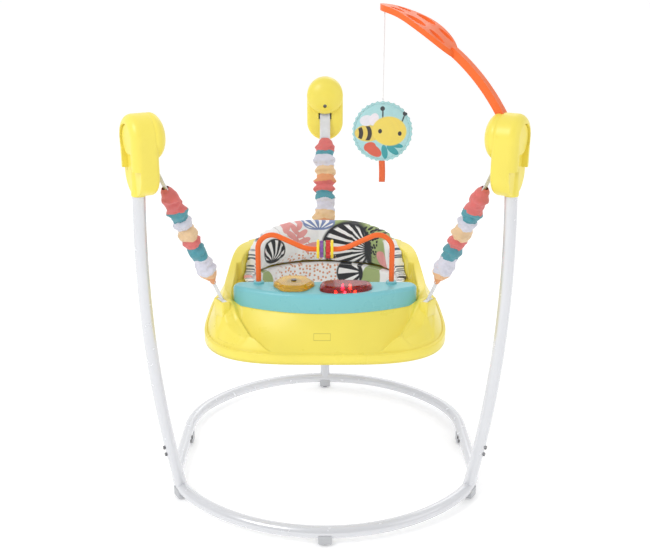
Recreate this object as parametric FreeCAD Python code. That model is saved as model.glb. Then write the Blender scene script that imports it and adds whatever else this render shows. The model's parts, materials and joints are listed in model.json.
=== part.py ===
"""Activity jumper: a round tube base with three bowed legs, three spring towers, and a bouncing seat tray.

Millimetres, +Z up, the child faces -Y. The origin is at the centre of the object's box, on the floor.
Every shape is first built about the axis of the seat, and put() then moves it to the origin.
Each sub-part is one STEP file in parts/, and the file's name is the name of the node.
"""

import FreeCAD
import Part

import math
import os

V = FreeCAD.Vector
UP = V(0, 0, 1)

# ---- driving dimensions -------------------------------------------------------------------------
TUBE_R = 12.7            # frame tube, 25.4 mm outside diameter
TUBE_WALL = 1.5
SPIGOT_GAP = 0.15        # radial gap between a swaged end and the tube that slides over it

FOOT_TIP_H = 6.0         # rubber tip under each foot
FOOT_TIP_R = 7.0
FOOT_H = 14.0            # floor to the underside of the base tube
FOOT_HALF = 14.0         # half the width of a foot's square pad
BASE_Z = FOOT_H + TUBE_R

RING_HALF_WIDTH = 334.6  # the base is a circle with slightly flattened sides
RING_FRONT_R = 381.2
RING_FRONT_C = 21.2
RING_FRONT_CORNER_R = 184.6
RING_BACK_R = 360.0
RING_BACK_CORNER_R = 221.5
RING_SEAM_Y = -6.0       # where the front and back halves of the base join

LEG_ANGLE = 31.5         # side legs stand this far in front of the X axis, in degrees
LEG_TOP_Z = 800.0
LEG_SEAM_Z = 152.0       # where a leg slides onto its stub
LEG_BOW_Z = 554.0        # height at which a leg leans out furthest
LEG_BOW_R = 2546.0
SPIGOT_LEN = 42.0
SCREW_R = 2.5
SCREW_HEAD_R = 4.2
SCREW_HEAD_H = 2.6
SCREW_STAND_OFF = 0.8    # the flat head clears the leaning tube by this much

TOWER_W = 91.0
TOWER_LOW_Z = 684.0
TOWER_TOP_Z = 842.0
TOWER_HALF_T = 25.0
TOWER_WALL = 3.0
TOWER_OUTER_EDGE_R = 18.0
TOWER_INNER_EDGE_R = 9.0
TOWER_RECESS = 11.0      # depth of the recesses in the outer face
TOWER_SKIRT_H = 54.0     # height of the recess across the tower's foot
HUB_R = 28.6
HUB_T = 7.0
DOME_OUT = 25.0          # how far the dome stands out of the tower's inner face
CAP_SCREW_Z = 774.0
SLOT_W = 33.0            # strap slot under the dome
STRAP_W = 26.0
STRAP_T = 2.0
STRAP_TOP_Z = 738.0      # where the strap leaves the slot
STRAP_STAND_OFF = 4.0    # the strap there, in front of the tower's inner face
STRAP_TUCK = 24.0        # length of strap inside the tower, up to its pin
PIN_R = 3.0

SIDE_ANCHOR_RHO = 254.0  # where each strap meets the tray
BACK_ANCHOR_RHO = 223.0
ANCHOR_Z = 440.0
COVER_FROM = 0.15        # the scrunched spring cover, as shares of the strap's length
COVER_TO = 0.86
COVER_W = 44.0
COVER_T = 33.0
COVER_WALL = 3.0
SPRING_R = 9.0
SPRING_WIRE_R = 1.25
SPRING_PITCH = 11.0
SPRING_EYE_R = 5.5       # the closed loop at each end of a spring
STRAP_OVERLAP = 18.0     # length of strap inside each end of its cover

TRAY_LOW_Z = 341.0
TRAY_LIP_Z = 362.0
TRAY_TOP_Z = 425.0
TRAY_HALF_W = 265.0
TRAY_FRONT = 245.5
TRAY_BACK = 238.0
TRAY_SQUARENESS = 3.4    # exponent of the super-ellipse that the rim follows
PLATEAU_INSET = 44.0     # rim to the edge of the tray's flat top
TRAY_WALL = 3.5
COLLAR_TOP_Z = 484.0     # the collar behind the seat, which slopes down to the plateau at the sides
COLLAR_LOW_Z = 388.0     # the collar meets the tray's back slope above this
COLLAR_START_Y = 23.0
COLLAR_SLOPE = 0.437
SEAT_Y = 40.0            # centre of the seat opening
OPENING_RX = 166.0
OPENING_RY = 126.0

FLOOR_T = 3.0            # the tray's underside panel
SEAT_RING_H = 26.0
TRAY_SCREWS = ((-200.0, -150.0), (200.0, -150.0), (-205.0, 60.0), (205.0, 60.0), (0.0, -215.0), (0.0, 200.0))
BOARD_X = (-8.0, 92.0)   # the circuit board, under the push dome
BOARD_Y = (-158.0, -112.0)
BOARD_LIFT = 8.0
BOARD_POSTS = [(x, y) for x in (-2.0, 86.0) for y in (-152.0, -118.0)]

CONSOLE_TOP_Z = 466.0
CONSOLE_R = 357.0
CONSOLE_CORNER_R = 21.0
CONSOLE_FRONT_Y = -178.0
CONSOLE_BACK_Y = -88.0
CONSOLE_WALL = 3.0
CONSOLE_EDGE_R = 8.5
CONSOLE_FLOOR = 4.6      # depth of the pocket that the push dome sits in

PAD_TOP_Z = 534.0
PAD_SIDE_Z = 438.0       # top of the pad's low front ends
SLING_LOW_Z = 258.0

BAR_R = 5.5
BAR_X = 141.0
BAR_Y = -101.0
BAR_SHOULDER_Z = 572.0
BAR_DIP_Z = 541.0
BAR_BEND_R = 30.0
BAR_FALL = 25.0          # slope of the bar between its shoulders and its dip, in degrees
BAR_LEVEL_HALF = 22.0    # half the level stretch that carries the beads
BEAD_BORE_R = 6.1

SPINNER_X = -65.5
SPINNER_Y = -118.5
SPINNER_R = 43.5
SPINNER_PETALS = 6
SPINNER_H = 11.0
SPINNER_LIFT = 0.8       # gap between the spinner and the console
CORE_R = 15.5
AXLE_R = 3.0
RUNNING_GAP = 0.08       # radial gap where the spinner turns on its axle
BUTTON_X = 43.5
BUTTON_Y = -137.0
BUTTON_HALF_W = 55.0
BUTTON_HALF_D = 32.0
BUTTON_H = 11.7
BUTTON_GAP = 0.6
LAMPS = ((37.0, -119.0), (53.0, -119.0), (22.0, -154.0), (41.0, -158.0), (62.0, -154.0))

MAST_FOOT_IN = 9.0       # the stem's foot and shoulder, inward of the tower's middle
MAST_SHOULDER_IN = 70.0
MAST_NECK_RHO = 283.0    # where the stem runs into the leaf
MAST_NECK_Z = 951.5
MAST_TIP_RHO = 129.0
MAST_CORD_RHO = 137.5    # where the cord hangs
MAST_HALF_W = 10.0
MAST_HALF_T = 7.5
LEAF_HALF_T = 6.0
LEAF_WIDTHS = ((0.2, 39.8), (0.45, 42.5), (0.72, 28.3), (0.9, 20.5))  # share of its length, half width
LEAF_END_HALF_W = 4.0
LEAF_OPENINGS = ((0.19, 21.0, 16.0, 8.5), (0.46, 22.5, 20.0, 12.5), (0.73, 14.5, 15.0, 7.0))
CORD_TOP_Z = 1022.0
CORD_R = 0.9
CORD_LENGTH = 170.0
EYELET_R = 3.5
EYELET_HALF_H = 3.5
TOY_R = 63.0
TOY_HALF_T = 15.0
RIBBON_LENGTH = 43.0

written = []


# ---- where things are ---------------------------------------------------------------------------
def ring_corner(half_width, arc_r, arc_c, corner_r, side):
    """Centre of the corner arc that joins an end arc to a straight side; side is -1 in front, 1 behind."""
    x = half_width - corner_r
    y = arc_c + side * math.sqrt((arc_r - corner_r) ** 2 - x ** 2)
    return x, y


FRONT_CORNER = ring_corner(RING_HALF_WIDTH, RING_FRONT_R, RING_FRONT_C, RING_FRONT_CORNER_R, -1)
BACK_CORNER = ring_corner(RING_HALF_WIDTH, RING_BACK_R, 0.0, RING_BACK_CORNER_R, 1)


def ring_radius_at_leg():
    """Distance from the seat axis to the base tube's centre line, in the direction of a side leg."""
    a = math.radians(LEG_ANGLE)
    along = FRONT_CORNER[0] * math.cos(a) - FRONT_CORNER[1] * math.sin(a)
    square = FRONT_CORNER[0] ** 2 + FRONT_CORNER[1] ** 2 - RING_FRONT_CORNER_R ** 2
    return along + math.sqrt(along ** 2 - square)


SIDE_BASE_RHO = ring_radius_at_leg()
AZIMUTHS = {"left": 180.0 + LEG_ANGLE, "right": -LEG_ANGLE, "back": 90.0}
BASE_RHO = {"left": SIDE_BASE_RHO, "right": SIDE_BASE_RHO, "back": RING_BACK_R}


def leg_rho(side, z):
    """A leg's distance from the seat axis at height z: one large arc, leaning out at the bottom."""
    sag = LEG_BOW_R - math.sqrt(LEG_BOW_R ** 2 - (BASE_Z - LEG_BOW_Z) ** 2)
    bow = LEG_BOW_R - math.sqrt(LEG_BOW_R ** 2 - (z - LEG_BOW_Z) ** 2)
    return BASE_RHO[side] + sag - bow


TOWER_RHO = {side: leg_rho(side, (TOWER_LOW_Z + TOWER_TOP_Z) / 2) for side in AZIMUTHS}
FRONT_EDGE_Y = RING_FRONT_C - RING_FRONT_R - TUBE_R
Y_SHIFT = (TOWER_RHO["back"] + TOWER_HALF_T + FRONT_EDGE_Y) / 2


def place(side):
    """Takes a shape built in the tower frame (X out from the seat axis, Z up) to its side of the object."""
    return FreeCAD.Placement(V(0, 0, 0), FreeCAD.Rotation(UP, AZIMUTHS[side]))


def moved(shape, placement):
    out = shape.copy()
    out.Placement = placement.multiply(out.Placement)
    return out


def put(name, *shapes):
    """Writes one node: the shapes moved to the object's origin."""
    solids = []
    for shape in shapes:
        solids += shape.Solids
    for solid in solids:
        if not solid.isValid() or solid.Volume <= 0:
            print("CHECK", name, "has a bad solid", solid.Volume)
    group = Part.makeCompound(solids)
    group.translate(V(0, -Y_SHIFT, 0))
    os.makedirs("parts", exist_ok=True)
    group.exportStep(os.path.join("parts", name + ".step"))
    written.append((name, len(solids)))


# ---- shape helpers ------------------------------------------------------------------------------
def cylinder(r, h, at, axis=UP):
    return Part.makeCylinder(r, h, at, axis)


def box(x0, x1, y0, y1, z0, z1):
    return Part.makeBox(x1 - x0, y1 - y0, z1 - z0, V(x0, y0, z0))


def arc(a, mid, b):
    return Part.Arc(a, mid, b).toShape()


def line(a, b):
    return Part.LineSegment(a, b).toShape()


def sweep(path, r):
    """A round rod along a wire of lines and arcs."""
    start = path.Edges[0]
    at = start.valueAt(start.FirstParameter)
    along = start.tangentAt(start.FirstParameter)
    circle = Part.Wire([Part.makeCircle(r, at, along)])
    return path.makePipeShell([circle], True, False)


def hollow(path, r, wall):
    return sweep(path, r).cut(sweep(path, r - wall))


def closed_curve(points):
    curve = Part.BSplineCurve()
    curve.interpolate(points, PeriodicFlag=True)
    return Part.Wire([curve.toShape()])


def oval(rx, ry, y, z, power=2.0, back_ry=None, count=40):
    """A closed super-ellipse about (0, y), with its own depth behind the X axis if back_ry is given."""
    points = []
    for i in range(count):
        a = 2 * math.pi * (i + 0.5) / count
        c, s = math.cos(a), math.sin(a)
        px = rx * math.copysign(abs(c) ** (2 / power), c)
        py = math.copysign(abs(s) ** (2 / power), s)
        py *= back_ry if (back_ry and s > 0) else ry
        points.append(V(px, y + py, z))
    return closed_curve(points)


def loft(*wires):
    return Part.makeLoft(list(wires), True, True)


def prism(wire, height):
    return Part.Face(wire).extrude(V(0, 0, height))


def stadium(width, low, top, x):
    """A capsule outline in the tower's Y-Z plane, at a distance x from the seat axis."""
    r = width / 2
    a, b = top - r, low + r
    return Part.Wire([
        arc(V(x, -r, a), V(x, 0, top), V(x, r, a)),
        line(V(x, r, a), V(x, r, b)),
        arc(V(x, r, b), V(x, 0, low), V(x, -r, b)),
        line(V(x, -r, b), V(x, -r, a)),
    ])


def capsule(width, low, top, x, depth):
    return Part.Face(stadium(width, low, top, x)).extrude(V(depth, 0, 0))


def round_edges(solid, r, keep):
    """Fillets the edges that keep() picks; the shape is left sharp where that fails."""
    edges = [e for e in solid.Edges if keep(e)]
    try:
        done = solid.makeFillet(r, edges)
        return done if done.isValid() and done.Solids else solid
    except Exception as error:
        print("no fillet:", error)
        return solid


def edges_in_plane_x(x):
    return lambda e: abs(e.BoundBox.XMin - x) < 1e-3 and abs(e.BoundBox.XMax - x) < 1e-3


def edges_in_plane_z(z):
    return lambda e: abs(e.BoundBox.ZMin - z) < 1e-3 and abs(e.BoundBox.ZMax - z) < 1e-3


def screw(at, axis, length):
    """A pan-head screw: its head's underside at a point, its shank running against the axis."""
    head = cylinder(SCREW_HEAD_R, SCREW_HEAD_H, at, axis)
    shank = cylinder(SCREW_R, length, at - axis * length, axis)
    return head.fuse(shank)


def screw_hole(at, axis, length):
    return cylinder(SCREW_R + 0.2, length + 2.0, at - axis * (length + 1.0), axis)


# ---- base ring ----------------------------------------------------------------------------------
def ring_end(arc_r, arc_c, corner):
    """The tangent point between an end arc and the right-hand corner arc, and that corner's middle."""
    cx, cy = corner
    reach = math.hypot(cx, cy - arc_c)
    tangent = V(arc_r * cx / reach, arc_c + arc_r * (cy - arc_c) / reach, BASE_Z)
    corner_r = RING_HALF_WIDTH - cx
    half = (math.atan2(tangent.y - cy, tangent.x - cx)) / 2
    middle = V(cx + corner_r * math.cos(half), cy + corner_r * math.sin(half), BASE_Z)
    return tangent, middle


def mirror_x(p):
    return V(-p.x, p.y, p.z)


def ring_path(side, arc_r, arc_c, corner):
    """One half of the base, from the left seam round its end to the right seam."""
    tangent, middle = ring_end(arc_r, arc_c, corner)
    tip = V(0, arc_c + side * arc_r, BASE_Z)
    turn = V(RING_HALF_WIDTH, corner[1], BASE_Z)
    seam = V(RING_HALF_WIDTH, RING_SEAM_Y, BASE_Z)
    return Part.Wire([
        line(mirror_x(seam), mirror_x(turn)),
        arc(mirror_x(turn), mirror_x(middle), mirror_x(tangent)),
        arc(mirror_x(tangent), tip, tangent),
        arc(tangent, middle, turn),
        line(turn, seam),
    ])


def leg_point(side, z):
    return V(leg_rho(side, z), 0, z)


def leg_path(side, low, top):
    middle = (low + top) / 2
    return Part.Wire([arc(leg_point(side, low), leg_point(side, middle), leg_point(side, top))])


LEG_SCREW_HEIGHTS = (LEG_SEAM_Z - 20.0, LEG_SEAM_Z - 37.0)


def build_frame():
    front_path = ring_path(-1, RING_FRONT_R, RING_FRONT_C, FRONT_CORNER)
    back_path = ring_path(1, RING_BACK_R, 0.0, BACK_CORNER)
    front_solid = sweep(front_path, TUBE_R)
    back_solid = sweep(back_path, TUBE_R)
    front = front_solid.cut(sweep(front_path, TUBE_R - TUBE_WALL))
    back = back_solid.cut(sweep(back_path, TUBE_R - TUBE_WALL))

    spigots = []
    seam_screws = []
    for sign in (-1, 1):
        spigot_path = Part.Wire([line(
            V(sign * RING_HALF_WIDTH, RING_SEAM_Y - SPIGOT_LEN, BASE_Z),
            V(sign * RING_HALF_WIDTH, RING_SEAM_Y + SPIGOT_LEN, BASE_Z),
        )])
        spigot = hollow(spigot_path, TUBE_R - TUBE_WALL - SPIGOT_GAP, TUBE_WALL)
        for dy in (12.0, 30.0):
            axis = V(-sign, 0, 0)
            at = V(sign * (RING_HALF_WIDTH - TUBE_R), RING_SEAM_Y + dy, BASE_Z)
            hole = screw_hole(at, axis, 8.0)
            back = back.cut(hole)
            spigot = spigot.cut(hole)
            seam_screws.append(screw(at, axis, 7.0))
        spigots.append(spigot)

    leg_screws = []
    leg_spigots = []
    stubs = {}
    for side in AZIMUTHS:
        frame = place(side)
        stub = hollow(leg_path(side, BASE_Z, LEG_SEAM_Z), TUBE_R, TUBE_WALL)
        leg = hollow(leg_path(side, LEG_SEAM_Z, LEG_TOP_Z), TUBE_R, TUBE_WALL)
        spigot = hollow(
            leg_path(side, LEG_SEAM_Z - SPIGOT_LEN - 12.0, LEG_SEAM_Z + SPIGOT_LEN),
            TUBE_R - TUBE_WALL - SPIGOT_GAP, TUBE_WALL,
        )
        for z in LEG_SCREW_HEIGHTS:
            at = leg_point(side, z) + V(TUBE_R + SCREW_STAND_OFF, 0, 0)
            hole = screw_hole(at, V(1, 0, 0), 8.0)
            stub = stub.cut(hole)
            spigot = spigot.cut(hole)
            leg_screws.append(moved(screw(at, V(1, 0, 0), 7.0), frame))
        stubs[side] = moved(stub, frame)
        put("leg_tube_" + side, moved(leg, frame))
        leg_spigots.append(moved(spigot, frame))
    left_stub = stubs["left"].cut(front_solid)
    put("leg_stub_left", left_stub)
    put("leg_stub_right", left_stub.mirror(V(0, 0, 0), V(1, 0, 0)))
    put("leg_stub_back", stubs["back"].cut(back_solid))
    put("front_base_tube", front)
    put("back_base_tube", back)
    put("tube_spigots", *spigots, *leg_spigots)
    put("frame_screws", *leg_screws, *seam_screws)
    build_feet(front_solid, back_solid)


def build_feet(front_solid, back_solid):
    """Six plastic saddles under the base tube, each with a rubber tip that stands on the floor."""
    leg_x = SIDE_BASE_RHO * math.cos(math.radians(LEG_ANGLE))
    leg_y = -SIDE_BASE_RHO * math.sin(math.radians(LEG_ANGLE))
    places = [(0.0, RING_FRONT_C - RING_FRONT_R, 0.0), (0.0, RING_BACK_R, 0.0)]
    for sign in (-1, 1):
        places.append((sign * leg_x, leg_y, sign * (90.0 - LEG_ANGLE)))
        places.append((sign * RING_HALF_WIDTH, RING_SEAM_Y + 52.0, 90.0))
    pads = []
    tips = []
    for x, y, turn in places:
        block = box(-FOOT_HALF, FOOT_HALF, -FOOT_HALF, FOOT_HALF, FOOT_TIP_H, BASE_Z - 2.0)
        block = round_edges(block, 3.0, lambda e: e.BoundBox.ZLength > 1)
        spot = FreeCAD.Placement(V(x, y, 0), FreeCAD.Rotation(UP, turn))
        pads.append(moved(block, spot).cut(front_solid).cut(back_solid).Solids[0])
        tip = cylinder(FOOT_TIP_R, FOOT_TIP_H, V(x, y, 0))
        tips.append(round_edges(tip, 1.2, edges_in_plane_z(0.0)))
    put("base_feet", *pads)
    put("foot_tips", *tips)


# ---- towers -------------------------------------------------------------------------------------
def tower_dome(rho, grow=0.0):
    """The rounded cap on the tower's inner face: half an ellipsoid, the width of the tower."""
    r = TOWER_W / 2 + grow
    ball = Part.makeSphere(r)
    stretch = FreeCAD.Matrix()
    stretch.A11 = (DOME_OUT + grow) / r
    cap = ball.transformGeometry(stretch)
    cap.translate(V(rho - TOWER_HALF_T, 0, TOWER_TOP_Z - TOWER_W / 2))
    return cap


def build_tower(side):
    rho = TOWER_RHO[side]
    frame = place(side)
    r = TOWER_W / 2
    inner_x = rho - TOWER_HALF_T
    outer_x = rho + TOWER_HALF_T
    wall = TOWER_WALL
    leg_hole = sweep(leg_path(side, TOWER_LOW_Z - 10.0, LEG_TOP_Z + 1.0), TUBE_R + 0.2)

    outer = capsule(TOWER_W, TOWER_LOW_Z, TOWER_TOP_Z, rho, TOWER_HALF_T)
    outer = round_edges(outer, TOWER_OUTER_EDGE_R, edges_in_plane_x(outer_x))
    room = TOWER_HALF_T - TOWER_RECESS - wall
    low, high = TOWER_LOW_Z + wall, TOWER_TOP_Z - wall
    outer = outer.cut(capsule(TOWER_W - 2 * wall, low, high, rho - 1, room + 1))
    deep = outer_x - TOWER_RECESS
    eye_z = TOWER_TOP_Z - r - 2.0
    skirt_z = TOWER_LOW_Z + TOWER_SKIRT_H
    below = box(deep, outer_x + 1, -r, r, TOWER_LOW_Z - 1, skirt_z)
    between = box(deep, outer_x + 1, -24.0, 24.0, skirt_z - 4.0, eye_z)
    eye = cylinder(HUB_R + 1.4, TOWER_RECESS + 1, V(deep, 0, eye_z), V(1, 0, 0))
    outer = outer.cut(below).cut(between).cut(eye).cut(leg_hole)

    hub = cylinder(HUB_R, HUB_T, V(deep, 0, eye_z), V(1, 0, 0))
    hub = round_edges(hub, 1.5, edges_in_plane_x(deep + HUB_T))

    inner = capsule(TOWER_W, TOWER_LOW_Z, TOWER_TOP_Z, inner_x, TOWER_HALF_T)
    inner = round_edges(inner, TOWER_INNER_EDGE_R, edges_in_plane_x(inner_x))
    cap_reach = inner_x + TOWER_INNER_EDGE_R + 0.5
    cap = tower_dome(rho).common(
        box(inner_x - DOME_OUT - 5, cap_reach, -r, r, TOWER_TOP_Z - 2 * r, TOWER_TOP_Z))
    inner = inner.fuse(cap).removeSplitter()
    hollow_cap = tower_dome(rho, -wall)
    cavity = capsule(TOWER_W - 2 * wall, low, high, inner_x + wall, TOWER_HALF_T)
    slot = box(inner_x - 6, inner_x + 8, -SLOT_W / 2, SLOT_W / 2, STRAP_TOP_Z, STRAP_TOP_Z + 20.0)
    screw_well = cylinder(4.6, DOME_OUT + 10.0, V(inner_x - DOME_OUT, 0, CAP_SCREW_Z), V(1, 0, 0))
    inner = inner.cut(hollow_cap).cut(cavity).cut(slot).cut(screw_well).cut(leg_hole)
    if side == "right":
        inner = inner.cut(mast_stem(0.2))

    put("tower_outer_shell_" + side, moved(outer, frame))
    put("tower_inner_shell_" + side, moved(inner, frame))
    pin_length = TOWER_W - 2 * wall - 1.0
    strap_top, strap_low = strap_ends(side)
    pin_at = strap_top + (strap_top - strap_low).normalize() * (STRAP_TUCK + PIN_R + 0.3)
    pin = cylinder(PIN_R, pin_length, pin_at - V(0, pin_length / 2, 0), V(0, 1, 0))
    cap_screw = screw(V(inner_x - 11.0, 0, CAP_SCREW_Z), V(-1, 0, 0), 9.0)
    return moved(hub, frame), moved(pin, frame), moved(cap_screw, frame)


# ---- toy mast -----------------------------------------------------------------------------------
def mast_stem(grow=0.0):
    """The stem is a rounded flat bar, bent in one arc."""
    foot = V(TOWER_RHO["right"] - MAST_FOOT_IN, 0, 812.0)
    shoulder = V(TOWER_RHO["right"] - MAST_SHOULDER_IN, 0, 898.0)
    path = Part.Wire([arc(foot, shoulder, V(MAST_NECK_RHO, 0, MAST_NECK_Z))])
    start = path.Edges[0]
    along_path = start.tangentAt(start.FirstParameter)
    across = V(0, 1, 0)
    inward = along_path.cross(across).normalize()
    half_w = MAST_HALF_W + grow
    half_t = MAST_HALF_T + grow
    corners = []
    for i, j in ((-1, -1), (1, -1), (1, 1), (-1, 1), (-1, -1)):
        corners.append(foot + across * (i * half_w) + inward * (j * half_t))
    return path.makePipeShell([Part.makePolygon(corners)], True, False)


def leaf_hole(centre, rx, ry):
    """One of the openings between the leaf's veins: an upright elliptical prism."""
    stretch = FreeCAD.Matrix()
    stretch.A11 = rx
    stretch.A22 = ry
    cut = cylinder(1.0, 300.0, V(0, 0, 850)).transformGeometry(stretch)
    cut.translate(centre)
    return cut


def mast_leaf():
    """The open leaf at the mast's end: an arched plate with openings between its veins."""
    start = V(MAST_NECK_RHO + 8.0, 0, MAST_NECK_Z - 8.0)
    crest = V(211.0, 0, 1003.0)
    tip = V(MAST_TIP_RHO, 0, 1028.0)
    lift = V(0, 0, LEAF_HALF_T)
    band = Part.Face(Part.Wire([
        arc(start + lift, crest + lift, tip + lift),
        line(tip + lift, tip - lift),
        arc(tip - lift, crest - lift, start - lift),
        line(start - lift, start + lift),
    ])).extrude(V(0, 200, 0))
    band.translate(V(0, -100, 0))
    length = start.x - tip.x

    def edge_point(share, width):
        return V(start.x - share * length, width, 900)

    end_w = LEAF_END_HALF_W
    outline = Part.BSplineCurve()
    middle = [edge_point(share, width) for share, width in LEAF_WIDTHS]
    outline.interpolate([edge_point(0.0, MAST_HALF_W)] + middle + [edge_point(1.0, end_w)])
    far = outline.toShape()
    near = far.mirror(V(0, 0, 0), V(0, 1, 0))
    rim = Part.Wire([far, line(edge_point(1.0, end_w), edge_point(1.0, -end_w)), near,
                     line(edge_point(0.0, -MAST_HALF_W), edge_point(0.0, MAST_HALF_W))])
    leaf = band.common(prism(rim, 200))
    for share, across, rx, ry in LEAF_OPENINGS:
        for sign in (-1, 1):
            leaf = leaf.cut(leaf_hole(V(start.x - share * length, sign * across, 0), rx, ry))
    return leaf.Solids[0]


def build_mast():
    frame = place("right")
    mast = mast_stem().fuse(mast_leaf()).removeSplitter()
    cord_top = V(MAST_CORD_RHO, 0, CORD_TOP_Z)
    under = cord_top - V(0, 0, EYELET_HALF_H)
    bush = cylinder(EYELET_R, 2 * EYELET_HALF_H, under)
    flare = Part.makeCone(3.0, 1.3, EYELET_HALF_H + 0.7, under - V(0, 0, 0.1))
    seat = cylinder(EYELET_R + 0.05, 2 * EYELET_HALF_H + 1.0, under - V(0, 0, 0.1))
    put("mast_arm", moved(mast.cut(seat).Solids[0], frame))
    put("mast_eyelet", moved(bush.cut(flare), frame))
    build_toy()


def toy_axis():
    """The top of the toy's cord."""
    a = math.radians(AZIMUTHS["right"])
    return V(MAST_CORD_RHO * math.cos(a), MAST_CORD_RHO * math.sin(a), CORD_TOP_Z - 0.2)


def build_toy():
    top = toy_axis()
    low = top.z - CORD_LENGTH
    put("toy_cord", cylinder(CORD_R, CORD_LENGTH, V(top.x, top.y, low)))
    knot = Part.makeSphere(2.2, V(top.x, top.y, low - 2.6))
    put("toy_loop", knot.cut(cylinder(3.0, 5.0, V(top.x, top.y, low))))
    middle = low - 5.2 - TOY_R
    thin = FreeCAD.Matrix()
    thin.A22 = TOY_HALF_T / TOY_R
    disc = Part.makeSphere(TOY_R).transformGeometry(thin)
    disc.translate(V(top.x, top.y, middle))
    put("hanging_toy", disc)
    tag = box(-6.5, 6.5, -1.6, 1.6, -RIBBON_LENGTH, 1.0)
    tag.translate(V(top.x, top.y, middle - TOY_R))
    put("toy_ribbon", tag.cut(disc))


# ---- springs and straps -------------------------------------------------------------------------
def strap_ends(side):
    """Top and bottom of a strap's straight run, in the tower frame."""
    top = V(TOWER_RHO[side] - TOWER_HALF_T - STRAP_STAND_OFF, 0, STRAP_TOP_Z)
    reach = BACK_ANCHOR_RHO if side == "back" else SIDE_ANCHOR_RHO
    return top, V(reach, 0, ANCHOR_Z)


def strap_frame(side, share):
    """Placement with Z down the strap, X through its thickness and Y across its width."""
    top, low = strap_ends(side)
    spin = FreeCAD.Rotation(UP, (low - top).normalize())
    return place(side).multiply(FreeCAD.Placement(top + (low - top) * share, spin))


def strap_length(side):
    top, low = strap_ends(side)
    return (low - top).Length


def webbing(start, end):
    return box(-STRAP_T / 2, STRAP_T / 2, -STRAP_W / 2, STRAP_W / 2, start, end)


def elliptic_prism(rx, ry, height):
    """An elliptical column that is wide along Y."""
    ellipse = Part.Ellipse(V(0, 0, 0), ry, rx).toShape()
    column = Part.Face(Part.Wire([ellipse])).extrude(V(0, 0, height))
    column.rotate(V(0, 0, 0), UP, 90)
    return column


def spring_coil(pitch, length, r, wire_r):
    turns = Part.makeHelix(pitch, length, r)
    start = turns.Edges[0].valueAt(turns.Edges[0].FirstParameter)
    slope = turns.Edges[0].tangentAt(turns.Edges[0].FirstParameter)
    section = Part.Wire([Part.makeCircle(wire_r, start, slope)])
    return Part.Wire(turns.Edges).makePipeShell([section], True, True)


def build_suspension(side):
    """One tower's strap, spring and cover; returns the pieces that share a node with the other towers'."""
    top_frame = strap_frame(side, 0.0)
    cover_frame = strap_frame(side, COVER_FROM)
    total = strap_length(side)
    cover_len = total * (COVER_TO - COVER_FROM)
    cover = elliptic_prism(COVER_T / 2, COVER_W / 2, cover_len)
    cover = cover.cut(elliptic_prism(COVER_T / 2 - COVER_WALL, COVER_W / 2 - COVER_WALL, cover_len))
    put("spring_cover_" + side, moved(cover, cover_frame))

    eye_reach = SPRING_EYE_R + 2 * SPRING_WIRE_R
    coil_start = STRAP_OVERLAP + 2 * eye_reach
    coil_len = cover_len - 2 * coil_start
    coil = spring_coil(SPRING_PITCH, coil_len, SPRING_R, SPRING_WIRE_R)
    coil.translate(V(0, 0, coil_start))
    eyes = []
    for z in (STRAP_OVERLAP + eye_reach, cover_len - STRAP_OVERLAP - eye_reach):
        eyes.append(Part.makeTorus(SPRING_EYE_R, SPRING_WIRE_R, V(0, 0, z), V(0, 1, 0)))
    spring = [moved(piece, cover_frame) for piece in [coil] + eyes]
    upper = moved(webbing(-STRAP_TUCK, total * COVER_FROM + STRAP_OVERLAP), top_frame)
    lower = moved(webbing(total * COVER_TO - STRAP_OVERLAP, total - 3.0), top_frame)
    return spring, upper, lower


# ---- tray ---------------------------------------------------------------------------------------
def tray_outline(shrink, z):
    return oval(TRAY_HALF_W - shrink, TRAY_FRONT - shrink, 0.0, z, TRAY_SQUARENESS, TRAY_BACK - shrink)


def seat_oval(shrink, z):
    return oval(OPENING_RX - shrink, OPENING_RY - shrink, SEAT_Y, z)


def side_profile(points):
    """A slab across the whole tray whose section in the Y-Z plane is a closed outline."""
    face = Part.Face(Part.makePolygon(points + [points[0]]))
    return face.extrude(V(800, 0, 0))


def tray_collar():
    """The wall behind and beside the seat, whose top slopes down to the plateau on each side."""
    low = COLLAR_LOW_Z
    outer = prism(oval(218.0, 150.0, 0.0, low, 2.8, 212.0), COLLAR_TOP_Z - low)
    inner = prism(oval(190.0, 150.0, SEAT_Y, low - 1), COLLAR_TOP_Z - low + 2)
    rise = 300.0 * COLLAR_SLOPE
    above = side_profile([
        V(-400, COLLAR_START_Y - 300, TRAY_TOP_Z - rise), V(-400, COLLAR_START_Y + 300, TRAY_TOP_Z + rise),
        V(-400, COLLAR_START_Y + 300, 900), V(-400, COLLAR_START_Y - 300, 900),
    ])
    return outer.cut(inner).cut(above)


def anchor_boss(side):
    """The block under each strap's anchor, with room for the hook."""
    top, low = strap_ends(side)
    boss = box(-9.5, 9.5, -22.0, 22.0, TRAY_LIP_Z + 8, ANCHOR_Z)
    boss = round_edges(boss, 4.0, lambda e: e.BoundBox.ZLength > 1)
    boss.translate(V(low.x, 0, 0))
    return moved(boss, place(side))


def tray_hook(side, grow=0.0, head_room=0.0):
    """The plastic hook on a strap's lower end, seated in the tray; grown, it is the pocket for it."""
    half_w = STRAP_W / 2 + 2 + grow
    block = box(-5.0 - grow, 5.0 + grow, -half_w, half_w, -17.0 - grow, -0.5 + head_room)
    block.translate(strap_ends(side)[1])
    return moved(block, place(side))


def battery_hatch(grow):
    return box(-60.0 - grow, 60.0 + grow, -184.0 - grow, -98.0 + grow, TRAY_LOW_Z, TRAY_LOW_Z + FLOOR_T)


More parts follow.
